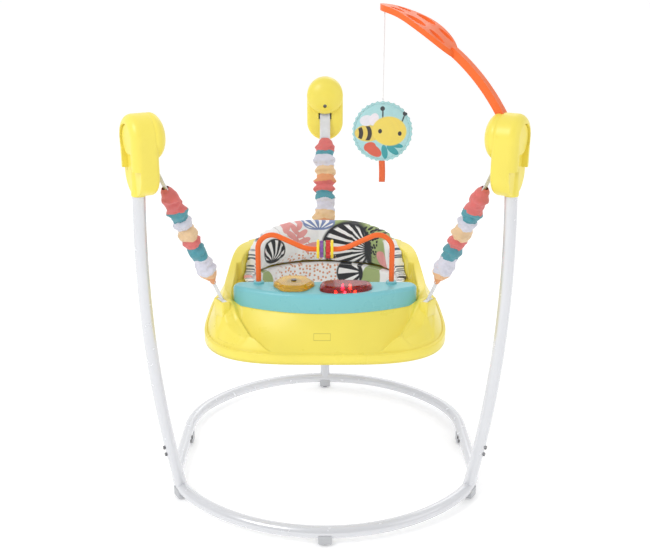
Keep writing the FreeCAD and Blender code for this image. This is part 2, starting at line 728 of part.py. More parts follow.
def build_tray():
    lip = TRAY_LIP_Z
    skin = prism(tray_outline(0, TRAY_LOW_Z), lip - TRAY_LOW_Z)
    skin = skin.fuse([loft(tray_outline(3, lip), tray_outline(PLATEAU_INSET, TRAY_TOP_Z)), tray_collar()])
    inside = prism(tray_outline(TRAY_WALL, TRAY_LOW_Z - 1), lip - TRAY_LOW_Z - TRAY_WALL + 1)
    inside = inside.fuse(loft(
        tray_outline(3 + 2 * TRAY_WALL, lip - TRAY_WALL - 1),
        tray_outline(PLATEAU_INSET + TRAY_WALL, TRAY_TOP_Z - TRAY_WALL),
    ))
    shell = skin.cut(inside).fuse([anchor_boss(side) for side in AZIMUTHS])
    shell = shell.cut(prism(seat_oval(0, TRAY_LOW_Z - 5), 300))
    for side in AZIMUTHS:
        shell = shell.cut(tray_hook(side, 0.4, 20.0))
    for x, y in BOARD_POSTS:
        shell = shell.fuse(cylinder(3.0, BOARD_LIFT, V(x, y, TRAY_TOP_Z)))
    wires = cylinder(5.0, 20.0, V(-62.0, BUTTON_Y, TRAY_TOP_Z - 10))
    put("tray_shell", shell.cut(wires).removeSplitter())

    floor = prism(tray_outline(TRAY_WALL + 0.4, TRAY_LOW_Z), FLOOR_T)
    floor = floor.cut(prism(seat_oval(-6, TRAY_LOW_Z - 1), FLOOR_T + 2)).cut(battery_hatch(0.3))
    heads = []
    for x, y in TRAY_SCREWS:
        floor = floor.cut(cylinder(SCREW_HEAD_R + 0.2, SCREW_HEAD_H, V(x, y, TRAY_LOW_Z)))
        heads.append(cylinder(SCREW_HEAD_R, SCREW_HEAD_H, V(x, y, TRAY_LOW_Z)))
    put("tray_underside", floor)
    put("tray_screws", *heads)
    put("battery_door", battery_hatch(0.0))
    put("tray_hooks", *[tray_hook(side) for side in AZIMUTHS])
    ring = prism(seat_oval(0.5, TRAY_TOP_Z - SEAT_RING_H), SEAT_RING_H)
    put("seat_ring", ring.cut(prism(seat_oval(7, TRAY_TOP_Z - SEAT_RING_H - 1), SEAT_RING_H + 4)))


def build_soft_seat():
    """The padded backrest that hugs the back of the opening, and the cloth seat that hangs inside it."""
    low = TRAY_TOP_Z + 0.4
    ring = prism(oval(189.0, 149.0, SEAT_Y, low), PAD_TOP_Z - low)
    ring = ring.cut(prism(oval(160.0, 120.0, SEAT_Y, low - 1), PAD_TOP_Z - low + 2))
    x = -400.0
    crown = Part.Face(Part.Wire([
        line(V(x, -38, low), V(x, -38, PAD_SIDE_Z)), line(V(x, -38, PAD_SIDE_Z), V(x, 62, PAD_SIDE_Z)),
        arc(V(x, 62, PAD_SIDE_Z), V(x, 100, 498), V(x, 172, PAD_TOP_Z)),
        line(V(x, 172, PAD_TOP_Z), V(x, 220, PAD_TOP_Z)),
        line(V(x, 220, PAD_TOP_Z), V(x, 220, low)), line(V(x, 220, low), V(x, -38, low)),
    ])).extrude(V(800, 0, 0))
    put("seat_pad", ring.common(crown).Solids[0])

    high = TRAY_TOP_Z - 1.0
    wall = 3.0
    low_y = SEAT_Y - 4
    tub = loft(seat_oval(8, high), oval(118.0, 92.0, low_y, SLING_LOW_Z))
    room = loft(seat_oval(8 + wall, high + 0.1), oval(118.0 - wall, 92.0 - wall, low_y, SLING_LOW_Z + wall))
    sling = tub.cut(room)
    for sign in (-1, 1):
        sling = sling.cut(prism(oval_at(sign * 56.0, SEAT_Y - 14.0, 42.0, 50.0, SLING_LOW_Z - 5), 60.0))
    put("seat_sling", sling)


def oval_at(x, y, rx, ry, z):
    wire = oval(rx, ry, y, z)
    wire.translate(V(x, 0, 0))
    return wire


# ---- console ------------------------------------------------------------------------------------
def console_outline(shrink, z):
    """A circular segment with rounded corners: the arc faces forward, the straight edge the child."""
    corner = CONSOLE_CORNER_R - shrink
    r = CONSOLE_R - shrink
    centre_y = CONSOLE_FRONT_Y + CONSOLE_R
    back_y = CONSOLE_BACK_Y - shrink
    cy = back_y - corner
    reach = r - corner
    cx = math.sqrt(reach ** 2 - (cy - centre_y) ** 2)
    out = V(cx, cy - centre_y, 0) * (r / reach)
    tangent = V(out.x, centre_y + out.y, z)
    turn = math.atan2(out.y, out.x)
    middle_angle = (turn + math.pi / 2) / 2
    middle = V(cx + corner * math.cos(middle_angle), cy + corner * math.sin(middle_angle), z)
    back = V(cx, back_y, z)
    tip = V(0, centre_y - r, z)
    return Part.Wire([
        arc(mirror_x(tangent), tip, tangent),
        arc(tangent, middle, back),
        line(back, mirror_x(back)),
        arc(mirror_x(back), mirror_x(middle), mirror_x(tangent)),
    ])


def button_outline(shrink, z):
    """A rounded slab whose front edge bows like the console's."""
    half_w = BUTTON_HALF_W - shrink
    half_d = BUTTON_HALF_D - shrink
    points = []
    for i in range(48):
        a = 2 * math.pi * i / 48
        x = BUTTON_X + half_w * math.copysign(abs(math.cos(a)) ** 0.66, math.cos(a))
        y = half_d * math.copysign(abs(math.sin(a)) ** 0.66, math.sin(a))
        bow = x ** 2 / (2 * CONSOLE_R) * (half_d - y) / (2 * half_d)
        points.append(V(x, BUTTON_Y + y + bow, z))
    return closed_curve(points)


def bar_point(x, z):
    return V(x, BAR_Y, z)


def bar_half():
    """The left half of the bead bar: a post, a shoulder, a slope, and the bend into the level stretch."""
    r = BAR_BEND_R
    fall = math.radians(BAR_FALL)
    centre_x = -BAR_X + r
    centre_z = BAR_SHOULDER_Z - r
    post_top = bar_point(-BAR_X, centre_z)
    up = math.radians(50)
    shoulder = bar_point(centre_x - r * math.cos(up), centre_z + r * math.sin(up))
    over = bar_point(centre_x + r * math.sin(fall), centre_z + r * math.cos(fall))
    run = -BAR_LEVEL_HALF - over.x
    rise = over.z - BAR_DIP_Z
    low_r = (run * math.tan(fall) - rise) / (math.sin(fall) * math.tan(fall) - (1 - math.cos(fall)))
    straight = (run - low_r * math.sin(fall)) / math.cos(fall)
    knee = bar_point(over.x + straight * math.cos(fall), over.z - straight * math.sin(fall))
    half = fall / 2
    sag = bar_point(-BAR_LEVEL_HALF - low_r * math.sin(half), BAR_DIP_Z + low_r * (1 - math.cos(half)))
    level = bar_point(-BAR_LEVEL_HALF, BAR_DIP_Z)
    foot = bar_point(-BAR_X, CONSOLE_TOP_Z - 14.0)
    return [(foot, post_top), (post_top, shoulder, over), (over, knee), (knee, sag, level)]


def bar_path():
    """The whole bead bar, the same on both sides of the level stretch."""
    left = bar_half()
    right = [tuple(mirror_x(p) for p in reversed(stretch)) for stretch in reversed(left)]
    level = left[-1][-1]
    edges = []
    for stretch in left + [(level, mirror_x(level))] + right:
        edges.append(line(*stretch) if len(stretch) == 2 else arc(*stretch))
    return Part.Wire(edges)


def toothed_ring(r, depth, teeth, x, width):
    """A bead with a wavy rim, its bore along X, centred on the bar."""
    points = []
    count = teeth * 6
    for i in range(count):
        a = 2 * math.pi * i / count
        radius = r + depth * math.cos(teeth * a)
        points.append(V(x, BAR_Y + radius * math.cos(a), BAR_DIP_Z + radius * math.sin(a)))
    return bored(Part.Face(closed_curve(points)).extrude(V(width, 0, 0)), x, width)


def round_ring(r, x, width):
    disc = cylinder(r, width, bar_point(x, BAR_DIP_Z), V(1, 0, 0))
    disc = round_edges(disc, width * 0.4, lambda e: e.Curve.TypeId == "Part::GeomCircle")
    return bored(disc, x, width)


def bored(disc, x, width):
    return disc.cut(cylinder(BEAD_BORE_R, width + 2, bar_point(x - 1, BAR_DIP_Z), V(1, 0, 0)))


def build_console():
    low = TRAY_TOP_Z + 0.2
    height = CONSOLE_TOP_Z - low
    body = Part.Face(console_outline(0, low)).extrude(V(0, 0, height))
    body = round_edges(body, CONSOLE_EDGE_R, edges_in_plane_z(CONSOLE_TOP_Z))
    room = Part.Face(console_outline(CONSOLE_WALL, low - 1)).extrude(V(0, 0, height - CONSOLE_FLOOR - 2.0))
    room_edge_r = CONSOLE_EDGE_R - CONSOLE_WALL + 2.0
    body = body.cut(round_edges(room, room_edge_r, edges_in_plane_z(low + height - CONSOLE_FLOOR - 3.0)))
    body = body.cut(prism(button_outline(-BUTTON_GAP, CONSOLE_TOP_Z - CONSOLE_FLOOR), 10.0))
    body = body.cut(cylinder(AXLE_R + 0.05, 40.0, V(SPINNER_X, SPINNER_Y, CONSOLE_TOP_Z - 15.0)))
    collars = []
    for sign in (-1, 1):
        bore = cylinder(BAR_R + 0.05, 50.0, V(sign * BAR_X, BAR_Y, CONSOLE_TOP_Z - 20.0))
        body = body.cut(bore)
        collar = cylinder(11.0, 5.0, V(sign * BAR_X, BAR_Y, CONSOLE_TOP_Z))
        collars.append(round_edges(collar, 2.0, edges_in_plane_z(CONSOLE_TOP_Z + 5.0)).cut(bore))
    put("console_shell", body.removeSplitter())
    put("bar_collars", *collars)
    put("bead_bar", sweep(bar_path(), BAR_R))
    build_beads()
    build_spinner()
    build_button()
    build_electronics()


def build_beads():
    """Five loose beads in the dip of the bar: colour, radius, number of teeth, thickness."""
    kinds = (("yellow_left", 20.0, 0, 6.0), ("purple", 17.0, 8, 7.0), ("green", 18.0, 0, 4.0),
             ("red", 18.0, 12, 9.0), ("yellow_right", 20.0, 0, 6.0))
    gap = 0.8
    x = -(sum(kind[3] for kind in kinds) + gap * (len(kinds) - 1)) / 2
    for colour, r, teeth, width in kinds:
        ring = toothed_ring(r, 1.4, teeth, x, width) if teeth else round_ring(r, x, width)
        put("bead_" + colour, ring)
        x += width + gap


def petal_outline(r, z):
    """A shallow scalloped outline round the spinner's axle."""
    points = []
    count = SPINNER_PETALS * 8
    depth = 0.04 * r
    for i in range(count):
        a = 2 * math.pi * i / count
        reach = r - depth + depth * math.cos(SPINNER_PETALS * a)
        points.append(V(SPINNER_X + reach * math.cos(a), SPINNER_Y + reach * math.sin(a), z))
    return closed_curve(points)


def build_spinner():
    """A clear low flower that turns on an axle, with a round core under its middle."""
    low = CONSOLE_TOP_Z + SPINNER_LIFT
    top = low + SPINNER_H
    ceiling = top - 2.8
    flower = Part.makeLoft([petal_outline(SPINNER_R, low), petal_outline(SPINNER_R - 0.8, top - 5.0),
                            petal_outline(SPINNER_R - 8.0, top)], True, True)
    bore = cylinder(AXLE_R + RUNNING_GAP, 60.0, V(SPINNER_X, SPINNER_Y, low - 20))
    room = cylinder(CORE_R + 2.0, ceiling - low + 1.0, V(SPINNER_X, SPINNER_Y, low - 1))
    put("spinner_flower", flower.cut(room).cut(bore))
    core = cylinder(CORE_R, ceiling - low - 0.4, V(SPINNER_X, SPINNER_Y, low + 0.4))
    put("spinner_core", round_edges(core, 2.0, edges_in_plane_z(low + 0.4)).cut(bore))
    axle = cylinder(AXLE_R, top - CONSOLE_TOP_Z + 12.6, V(SPINNER_X, SPINNER_Y, CONSOLE_TOP_Z - 12.0))
    cap = cylinder(5.5, 1.8, V(SPINNER_X, SPINNER_Y, top + 0.4))
    put("spinner_axle", axle.fuse(cap))


def build_button():
    """A clear push dome over five lamps, held up by a small return spring."""
    low = CONSOLE_TOP_Z - 0.4
    top = CONSOLE_TOP_Z + BUTTON_H
    dome = loft(button_outline(0, low), button_outline(1.5, top - 5.5), button_outline(4.5, top - 1.8),
                button_outline(9.5, top))
    room = loft(button_outline(2.2, low - 1), button_outline(3.7, top - 7.0), button_outline(6.7, top - 3.9),
                button_outline(11.7, top - 2.2))
    put("button_dome", dome.cut(room))
    floor_z = CONSOLE_TOP_Z - CONSOLE_FLOOR
    lamps = []
    for x, y in LAMPS:
        at = V(x, y, floor_z)
        lamps.append(cylinder(2.5, 4.5, at).fuse(Part.makeSphere(2.5, at + V(0, 0, 4.5))))
    put("lamps", *lamps)
    coil = spring_coil(2.2, 12.0, 4.0, 0.4)
    coil.translate(V(BUTTON_X + 32.0, BUTTON_Y, floor_z + 0.5))
    put("button_spring", coil)


def build_electronics():
    """What the console needs inside to light up: a board, a speaker, and a battery box with its cells."""
    board_z = TRAY_TOP_Z + BOARD_LIFT
    put("circuit_board", box(BOARD_X[0], BOARD_X[1], BOARD_Y[0], BOARD_Y[1], board_z, board_z + 1.6))
    put("speaker", cylinder(17.0, 8.0, V(-100.0, -118.0, TRAY_TOP_Z)))
    low = TRAY_LOW_Z + FLOOR_T
    case = box(-58.0, 58.0, -182.0, -100.0, low, low + 34.0)
    put("battery_box", case.cut(box(-55.0, 55.0, -179.0, -103.0, low - 1, low + 31.0)))
    cells = []
    for i in range(3):
        cells.append(cylinder(10.5, 50.0, V(-25.0, -163.0 + 22.0 * i, low + 12.0), V(1, 0, 0)))
    put("batteries", *cells)


# ---- everything ---------------------------------------------------------------------------------
def main():
    build_frame()
    hubs, pins, cap_screws = zip(*[build_tower(side) for side in AZIMUTHS])
    put("tower_hub_discs", *hubs)
    put("strap_pins", *pins)
    put("tower_screws", *cap_screws)
    build_mast()
    springs, uppers, lowers = zip(*[build_suspension(side) for side in AZIMUTHS])
    put("bounce_springs", *[piece for spring in springs for piece in spring])
    put("upper_straps", *uppers)
    put("lower_straps", *lowers)
    build_tray()
    build_soft_seat()
    build_console()
    print(len(written), "nodes,", sum(n for _, n in written), "solids, Y shift", round(Y_SHIFT, 3))


main()
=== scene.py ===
"""Looks for the activity jumper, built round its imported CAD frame."""
import json
import math

import bmesh
import bpy
import numpy as np
from mathutils import Matrix, Vector, noise


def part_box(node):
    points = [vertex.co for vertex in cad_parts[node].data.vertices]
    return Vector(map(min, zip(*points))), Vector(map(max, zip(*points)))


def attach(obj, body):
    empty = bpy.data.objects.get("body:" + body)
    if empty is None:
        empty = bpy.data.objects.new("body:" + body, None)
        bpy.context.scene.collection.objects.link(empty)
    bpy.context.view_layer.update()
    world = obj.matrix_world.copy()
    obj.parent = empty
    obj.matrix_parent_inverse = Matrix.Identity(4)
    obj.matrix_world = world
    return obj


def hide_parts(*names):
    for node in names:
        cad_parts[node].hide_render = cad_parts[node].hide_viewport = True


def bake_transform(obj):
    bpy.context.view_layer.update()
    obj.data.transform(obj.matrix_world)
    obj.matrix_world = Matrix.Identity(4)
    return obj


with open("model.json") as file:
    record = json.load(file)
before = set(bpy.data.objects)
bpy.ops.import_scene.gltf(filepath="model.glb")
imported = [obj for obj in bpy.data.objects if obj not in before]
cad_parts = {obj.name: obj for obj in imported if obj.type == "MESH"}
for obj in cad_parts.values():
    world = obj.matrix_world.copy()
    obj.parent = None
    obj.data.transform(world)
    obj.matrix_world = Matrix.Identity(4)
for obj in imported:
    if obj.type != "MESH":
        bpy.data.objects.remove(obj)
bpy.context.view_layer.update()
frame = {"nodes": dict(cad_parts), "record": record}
nodes = frame["nodes"]
Y_SHIFT = 0.029455       # the seat axis stands this far behind the middle of the footprint


# ---- materials -----------------------------------------------
class Surface:
    """A procedural material: a Principled shader with helpers for adding texture nodes to it."""

    def __init__(self, name, colour, rough, **sockets):
        self.mat = bpy.data.materials.new(name)
        self.mat.use_nodes = True
        self.tree = self.mat.node_tree
        self.shader = self.tree.nodes["Principled BSDF"]
        self.shader.inputs["Base Color"].default_value = (*colour, 1)
        self.shader.inputs["Roughness"].default_value = rough
        for socket, value in sockets.items():
            self.shader.inputs[socket.replace("_", " ")].default_value = value
        self.coords = self.tree.nodes.new("ShaderNodeTexCoord")
        self.height = None

    def node(self, kind, **values):
        made = self.tree.nodes.new(kind)
        for key, value in values.items():
            if hasattr(made, key):
                setattr(made, key, value)
            else:
                made.inputs[key.replace("_", " ")].default_value = value
        return made

    def link(self, a, b):
        self.tree.links.new(a, b)

    def noise(self, scale, detail=3.0):
        made = self.node("ShaderNodeTexNoise", Scale=scale, Detail=detail)
        self.link(self.coords.outputs["Object"], made.inputs["Vector"])
        return made.outputs["Fac"]

    def ramp(self, fac, low, high, start=0.0, end=1.0):
        made = self.node("ShaderNodeMapRange", From_Min=start, From_Max=end, To_Min=low, To_Max=high)
        self.link(fac, made.inputs["Value"])
        return made.outputs["Result"]

    def mix(self, fac, a, b):
        made = self.node("ShaderNodeMix", data_type="RGBA")
        for socket, value in ((made.inputs["Factor"], fac), (made.inputs["A"], a), (made.inputs["B"], b)):
            if isinstance(value, bpy.types.NodeSocket):
                self.link(value, socket)
            elif isinstance(value, (int, float)):
                socket.default_value = value
            else:
                socket.default_value = (*value, 1)
        return made.outputs["Result"]

    def math(self, operation, a, b=None):
        made = self.node("ShaderNodeMath", operation=operation)
        for socket, value in zip(made.inputs, (a, b)):
            if isinstance(value, bpy.types.NodeSocket):
                self.link(value, socket)
            elif value is not None:
                socket.default_value = value
        return made.outputs["Value"]

    def axes(self, vector):
        made = self.node("ShaderNodeSeparateXYZ")
        self.link(vector, made.inputs["Vector"])
        return made.outputs["X"], made.outputs["Y"], made.outputs["Z"]

    def blotches(self, scale, colour, dark, light, start=0.3, end=0.7):
        """Two tones of a colour in soft patches."""
        share = self.ramp(self.noise(scale), 0, 1, start, end)
        return self.mix(share, shade(colour, dark), shade(colour, light))

    def colour(self, output):
        self.link(output, self.shader.inputs["Base Color"])

    def roughness(self, output):
        self.link(output, self.shader.inputs["Roughness"])

    def bump(self, height, strength, distance):
        made = self.node("ShaderNodeBump", Strength=strength, Distance=distance)
        self.link(height, made.inputs["Height"])
        if self.height is not None:
            self.link(self.height, made.inputs["Normal"])
        self.height = made.outputs["Normal"]
        self.link(self.height, self.shader.inputs["Normal"])


def shade(colour, factor):
    return tuple(min(1.0, c * factor) for c in colour)


def plastic(name, colour, rough=0.34, grain=0.10, **sockets):
    """Moulded plastic: faint flow marks, a fine spark-eroded grain and handling wear in its gloss."""
    s = Surface(name, colour, rough, **sockets)
    s.colour(s.blotches(9.0, colour, 0.965, 1.02))
    s.roughness(s.ramp(s.noise(24.0, 6.0), rough - 0.05, rough + 0.08, 0.3, 0.7))
    s.bump(s.noise(1500.0, 2.0), grain, 0.0002)
    return s


def painted(name, colour, rough=0.22):
    """Powder-coated tube: orange peel and a slightly worn gloss."""
    s = Surface(name, colour, rough, Coat_Weight=0.5, Coat_Roughness=0.1, Metallic=0.3)
    s.colour(s.blotches(12.0, colour, 0.985, 1.01))
    s.roughness(s.ramp(s.noise(60.0, 5.0), rough - 0.03, rough + 0.06, 0.3, 0.7))
    s.bump(s.noise(900.0, 1.0), 0.035, 0.0002)
    return s


def metal(name, colour, rough=0.3):
    s = Surface(name, colour, rough, Metallic=1.0)
    s.colour(s.blotches(80.0, colour, 0.85, 1.08, 0.35, 0.65))
    s.roughness(s.ramp(s.noise(300.0, 5.0), rough - 0.08, rough + 0.12, 0.3, 0.7))
    s.bump(s.noise(900.0, 3.0), 0.12, 0.0002)
    return s


def clear(name, colour, rough=0.06, tint=0.9):
    """Clear tinted plastic, with faint flow lines in it."""
    s = Surface(name, colour, rough, Transmission_Weight=tint, IOR=1.49, Coat_Weight=0.3)
    s.colour(s.blotches(40.0, colour, 0.88, 1.05))
    s.roughness(s.ramp(s.noise(90.0, 4.0), rough * 0.6, rough * 2.2, 0.3, 0.7))
    s.bump(s.noise(260.0, 2.0), 0.10, 0.0003)
    return s


WEAVE_SCALE = 0.314      # a wave texture of this scale has ridges one unit apart


def woven(s, pitch=0.0009, strength=0.35):
    """Adds the ridges of a plain weave: two crossed sets of threads, in all three directions."""
    waves = []
    for axis in "XYZ":
        wave = s.node("ShaderNodeTexWave", wave_type="BANDS", bands_direction=axis, Scale=WEAVE_SCALE / pitch,
                      Distortion=0.6, Detail=1.0)
        s.link(s.coords.outputs["Object"], wave.inputs["Vector"])
        waves.append(wave.outputs["Fac"])
    total = s.math("ADD", s.math("ADD", waves[0], waves[1]), waves[2])
    s.bump(total, strength, pitch * 0.4)
    return total


def fabric(name, colour, rough=0.85, pitch=0.0009):
    s = Surface(name, colour, rough, Sheen_Weight=0.25, Sheen_Roughness=0.5)
    threads = woven(s, pitch)
    base = s.blotches(50.0, colour, 0.93, 1.04)
    # Painted shade: the colour darkens in the low places between the threads.
    s.colour(s.mix(s.ramp(threads, 0.16, 0.0, 0.0, 3.0), base, shade(colour, 0.6)))
    return s


YELLOW = (0.91, 0.77, 0.115)
TEAL = (0.20, 0.56, 0.62)
ORANGE = (0.90, 0.16, 0.03)
WHITE = (0.80, 0.80, 0.81)

MATERIALS = {
    "painted_tube": painted("tube_paint", (0.72, 0.73, 0.76)),
    "bare_tube": metal("bare_steel", (0.55, 0.55, 0.56)),
    "grey_plastic": plastic("foot_grey", (0.52, 0.53, 0.55), 0.45),
    "dark_rubber": plastic("tip_rubber", (0.16, 0.165, 0.18), 0.7, 0.3),
    "screw_steel": metal("screw_steel", (0.20, 0.20, 0.21)),
    "yellow_shell": plastic("yellow_shell", YELLOW, 0.33),
    "orange_plastic": plastic("orange_plastic", ORANGE, 0.38, Specular_IOR_Level=0.3),
    "teal_plastic": plastic("teal_plastic", TEAL, 0.30),
    "white_cord": fabric("cord_white", (0.85, 0.85, 0.85), 0.8, 0.0004),
    "toy_fabric": fabric("toy_teal", (0.22, 0.58, 0.60)),
    "ribbon": fabric("ribbon_orange", (0.85, 0.16, 0.05)),
    "webbing": fabric("webbing_white", (0.78, 0.80, 0.84), 0.8, 0.0012),
    "cover_fabric": fabric("cover_plain", (0.80, 0.42, 0.28)),
    "spring_steel": metal("spring_steel", (0.55, 0.55, 0.57), 0.25),
    "white_plastic": plastic("white_plastic", WHITE, 0.4),
    "seat_print": fabric("print_plain", (0.86, 0.86, 0.85)),
    "sling_fabric": fabric("sling_cloth", (0.80, 0.82, 0.84)),
    "yellow_bead": plastic("bead_yellow", (0.95, 0.74, 0.04), 0.24),
    "purple_bead": plastic("bead_purple", (0.24, 0.10, 0.38), 0.24),
    "green_bead": plastic("bead_green", (0.38, 0.56, 0.22), 0.24),
    "red_bead": plastic("bead_red", (0.62, 0.04, 0.03), 0.24),
    "clear_yellow": clear("clear_yellow", (1.0, 0.62, 0.03), 0.06, 0.6),
    "clear_red": clear("clear_red", (0.62, 0.012, 0.018), 0.06, 0.86),
    "leaf_green": plastic("leaf_green", (0.35, 0.66, 0.15), 0.3),
    "lamp_lens": clear("lamp_lens", (0.95, 0.95, 0.95), 0.15, 0.6),
    "circuit": plastic("circuit_green", (0.03, 0.20, 0.08), 0.4),
    "black_plastic": plastic("black_plastic", (0.03, 0.03, 0.035), 0.45),
    "cell_wrap": plastic("cell_wrap", (0.15, 0.30, 0.16), 0.3),
}


def paint_nodes():
    slots = {part["node"]: part["material_slot"] for part in frame["record"]["subparts"]}
    for name, obj in nodes.items():
        dress(obj, MATERIALS[slots[name]])


def add_object(name, data):
    obj = bpy.data.objects.new(name, data)
    bpy.context.collection.objects.link(obj)
    return obj


def dress(obj, surface):
    """Gives an object one material in place of any it has."""
    obj.data.materials.clear()
    obj.data.materials.append(surface.mat)


# ---- camera, light, floor ------------------------------------
CAMERA_AT = (0, -1.91237, 1.08914)
CAMERA_PITCH = 18.766    # degrees below the horizon
CAMERA_LENS = 49.154
SKY_NEAR, SKY_FAR = 0.58, 1.06            # strength of the sky in front of the part and behind it


def add_camera():
    data = bpy.data.cameras.new("camera")
    data.lens = CAMERA_LENS
    data.sensor_width = 36.0
    camera = add_object("camera", data)
    camera.location = CAMERA_AT
    camera.rotation_euler = (math.radians(90 - CAMERA_PITCH), 0, 0)
    bpy.context.scene.camera = camera


def add_light(name, at, aim, size, watts, colour=(1, 1, 1)):
    data = bpy.data.lights.new(name, "AREA")
    data.shape = "DISK"
    data.size = size
    data.energy = watts
    data.color = colour
    lamp = add_object(name, data)
    lamp.location = at
    lamp.rotation_euler = (Vector(aim) - Vector(at)).to_track_quat("-Z", "Y").to_euler()


def add_studio():
    add_light("key", (-1.6, -1.7, 2.5), (0, 0, 0.5), 1.3, 25)
    add_light("fill", (2.2, -1.3, 1.5), (0, 0, 0.5), 1.8, 4)
    add_light("rim", (0.6, 2.3, 2.2), (0, 0, 0.6), 1.4, 5)
    world = bpy.data.worlds.new("studio")
    world.use_nodes = True
    world.node_tree.nodes["Background"].inputs["Color"].default_value = (1, 1, 1, 1)
    tree = world.node_tree
    facing = tree.nodes.new("ShaderNodeTexCoord")
    split = tree.nodes.new("ShaderNodeSeparateXYZ")
    level = tree.nodes.new("ShaderNodeMapRange")
    for socket, value in (("From Min", -1.0), ("To Min", SKY_NEAR), ("To Max", SKY_FAR)):
        level.inputs[socket].default_value = value
    tree.links.new(facing.outputs["Generated"], split.inputs["Vector"])
    tree.links.new(split.outputs["Y"], level.inputs["Value"])
    tree.links.new(level.outputs["Result"], tree.nodes["Background"].inputs["Strength"])
    bpy.context.scene.world = world
    bpy.context.scene.view_settings.view_transform = "Standard"
    bpy.context.scene.view_settings.exposure = 0.02
    bpy.ops.mesh.primitive_plane_add(size=160, location=(0, 0, 0))
    floor = bpy.context.object
    floor.name = "studio_floor"
    paper = Surface("floor_paper", (0.94, 0.94, 0.94), 0.9,
                    Emission_Color=(1, 1, 1, 1), Emission_Strength=0.22)
    floor.data.materials.append(paper.mat)


# ---- small mesh helpers --------------------------------------
def add_mesh(name, verts, faces, slot, smooth=True):
    data = bpy.data.meshes.new(name)
    data.from_pydata([tuple(v) for v in verts], [], faces)
    data.update()
    obj = add_object(name, data)
    if smooth:
        data.polygons.foreach_set("use_smooth", [True] * len(data.polygons))
    data.materials.append(MATERIALS[slot].mat)
    return obj


def at(x, y, z):
    """A point given in millimetres about the seat's axis."""
    return Vector((x / 1000, y / 1000 - Y_SHIFT, z / 1000))


def grid_faces(rings, count, closed_rings=False):
    """Quads between consecutive closed loops of count points."""
    faces = []
    for i in range(rings if closed_rings else rings - 1):
        low = i * count
        high = ((i + 1) % rings) * count
        for j in range(count):
            k = (j + 1) % count
            faces.append((low + j, low + k, high + k, high + j))
    return faces


def set_uv(obj, pairs):
    """Gives every vertex of a mesh a pair of print coordinates."""
    layer = obj.data.uv_layers.new(name="print")
    for loop in obj.data.loops:
        layer.data[loop.index].uv = pairs[loop.vertex_index]


def apply_modifiers(obj):
    graph = bpy.context.evaluated_depsgraph_get()
    mesh = bpy.data.meshes.new_from_object(obj.evaluated_get(graph))
    obj.modifiers.clear()
    obj.data = mesh


def solidify(obj, thickness, offset=-1.0):
    layer = obj.modifiers.new("thickness", "SOLIDIFY")
    layer.thickness = thickness
    layer.offset = offset
    apply_modifiers(obj)


def smoothstep(t):
    t = np.clip(t, 0.0, 1.0)
    return t * t * (3 - 2 * t)


# ---- tray ----------------------------------------------------
TRAY_POWER = 3.4
TRAY_BASE_Z = 341.0
TRAY_RING_POINTS = 640
PLATEAU_Z = 425.0
LEDGE_Z = 362.6
SLOPE_RISE = 62.4         # from the ledge to the plateau
SWELL_Z = 439.0           # the surface is lifted towards this round each anchor
HOLLOW_DEPTH = 4.0
COLLAR_LEAN = 0.24        # how far its outer wall leans in, per unit of height
TRAY_RIM = (265.0, 245.5, 238.0)          # half width, reach in front, reach behind
COLLAR_OUT = (227.0, 150.0, 214.0)
COLLAR_IN = (190.0, 150.0)
CONSOLE_ARC = (179.0, 357.0)              # middle and radius of the console's front edge
SHOULDER_IN = 201.0                       # inner faces of the collar's arms, beside the console
COLLAR_CREST = ((-152.0, -126.0, 0.0, 90.0), (425.0, 440.0, 452.0, 484.0))
OPENING = (166.0, 126.0)
SEAT_Y = 40.0
RIDGE = ((196.0, 60.0), (196.0, -122.0), (150.0, -205.0), (103.0, -240.0))
HOLLOW = ((230.0, -135.0), (216.0, -128.0), (193.0, -147.0), (158.0, -196.0),
          (159.0, -209.0), (194.0, -215.0), (213.0, -203.0), (224.0, -176.0))
# half sides, corner radius and height of each level of an anchor block
BOSS_LEVELS = ((9.5, 22.0, 4.0, 371.0), (9.5, 22.0, 4.0, 437.5), (9.1, 21.6, 3.8, 439.3),
               (8.0, 20.5, 3.2, 440.0), (6.6, 16.6, 1.8, 440.0), (5.6, 15.6, 1.2, 439.0),
               (5.45, 15.45, 1.0, 422.0))
ANCHOR_SPOTS = ((254.0, 211.5), (254.0, -31.5), (223.0, 90.0))


def rim_side(x, y, inset):
    reach = np.where(y > 0, TRAY_RIM[2], TRAY_RIM[1]) - inset
    return (np.abs(x) / (TRAY_RIM[0] - inset)) ** TRAY_POWER + (np.abs(y) / reach) ** TRAY_POWER - 1


def collar_side(x, y):
    reach = np.where(y > 0, COLLAR_OUT[2], COLLAR_OUT[1])
    return (np.abs(x) / COLLAR_OUT[0]) ** 3.6 + (np.abs(y) / reach) ** 3.6 - 1


def collar_inner_side(x, y):
    beside = np.abs(x) / SHOULDER_IN - 1
    return np.where(y < SEAT_Y, beside, oval_side(COLLAR_IN)(x, y))


def oval_side(half):
    return lambda x, y: (x / half[0]) ** 2 + ((y - SEAT_Y) / half[1]) ** 2 - 1


def reach_to(side, angle):
    """How far a curve lies from (0, 20), in each of the directions given."""
    low = np.zeros_like(angle)
    high = np.full_like(angle, 420.0)
    for _ in range(30):
        middle = (low + high) / 2
        inside = side(middle * np.cos(angle), 20 + middle * np.sin(angle)) < 0
        low = np.where(inside, middle, low)
        high = np.where(inside, high, middle)
    return low


def inset_at(x, y):
    low = np.zeros_like(x)
    high = np.full_like(x, 150.0)
    for _ in range(18):
        middle = (low + high) / 2
        inside = rim_side(x, y, middle) < 0
        low = np.where(inside, middle, low)
        high = np.where(inside, high, middle)
    return low


def segment_gap(x, y, a, b):
    dx, dy = b[0] - a[0], b[1] - a[1]
    share = np.clip(((x - a[0]) * dx + (y - a[1]) * dy) / (dx * dx + dy * dy), 0, 1)
    return np.hypot(x - a[0] - share * dx, y - a[1] - share * dy)


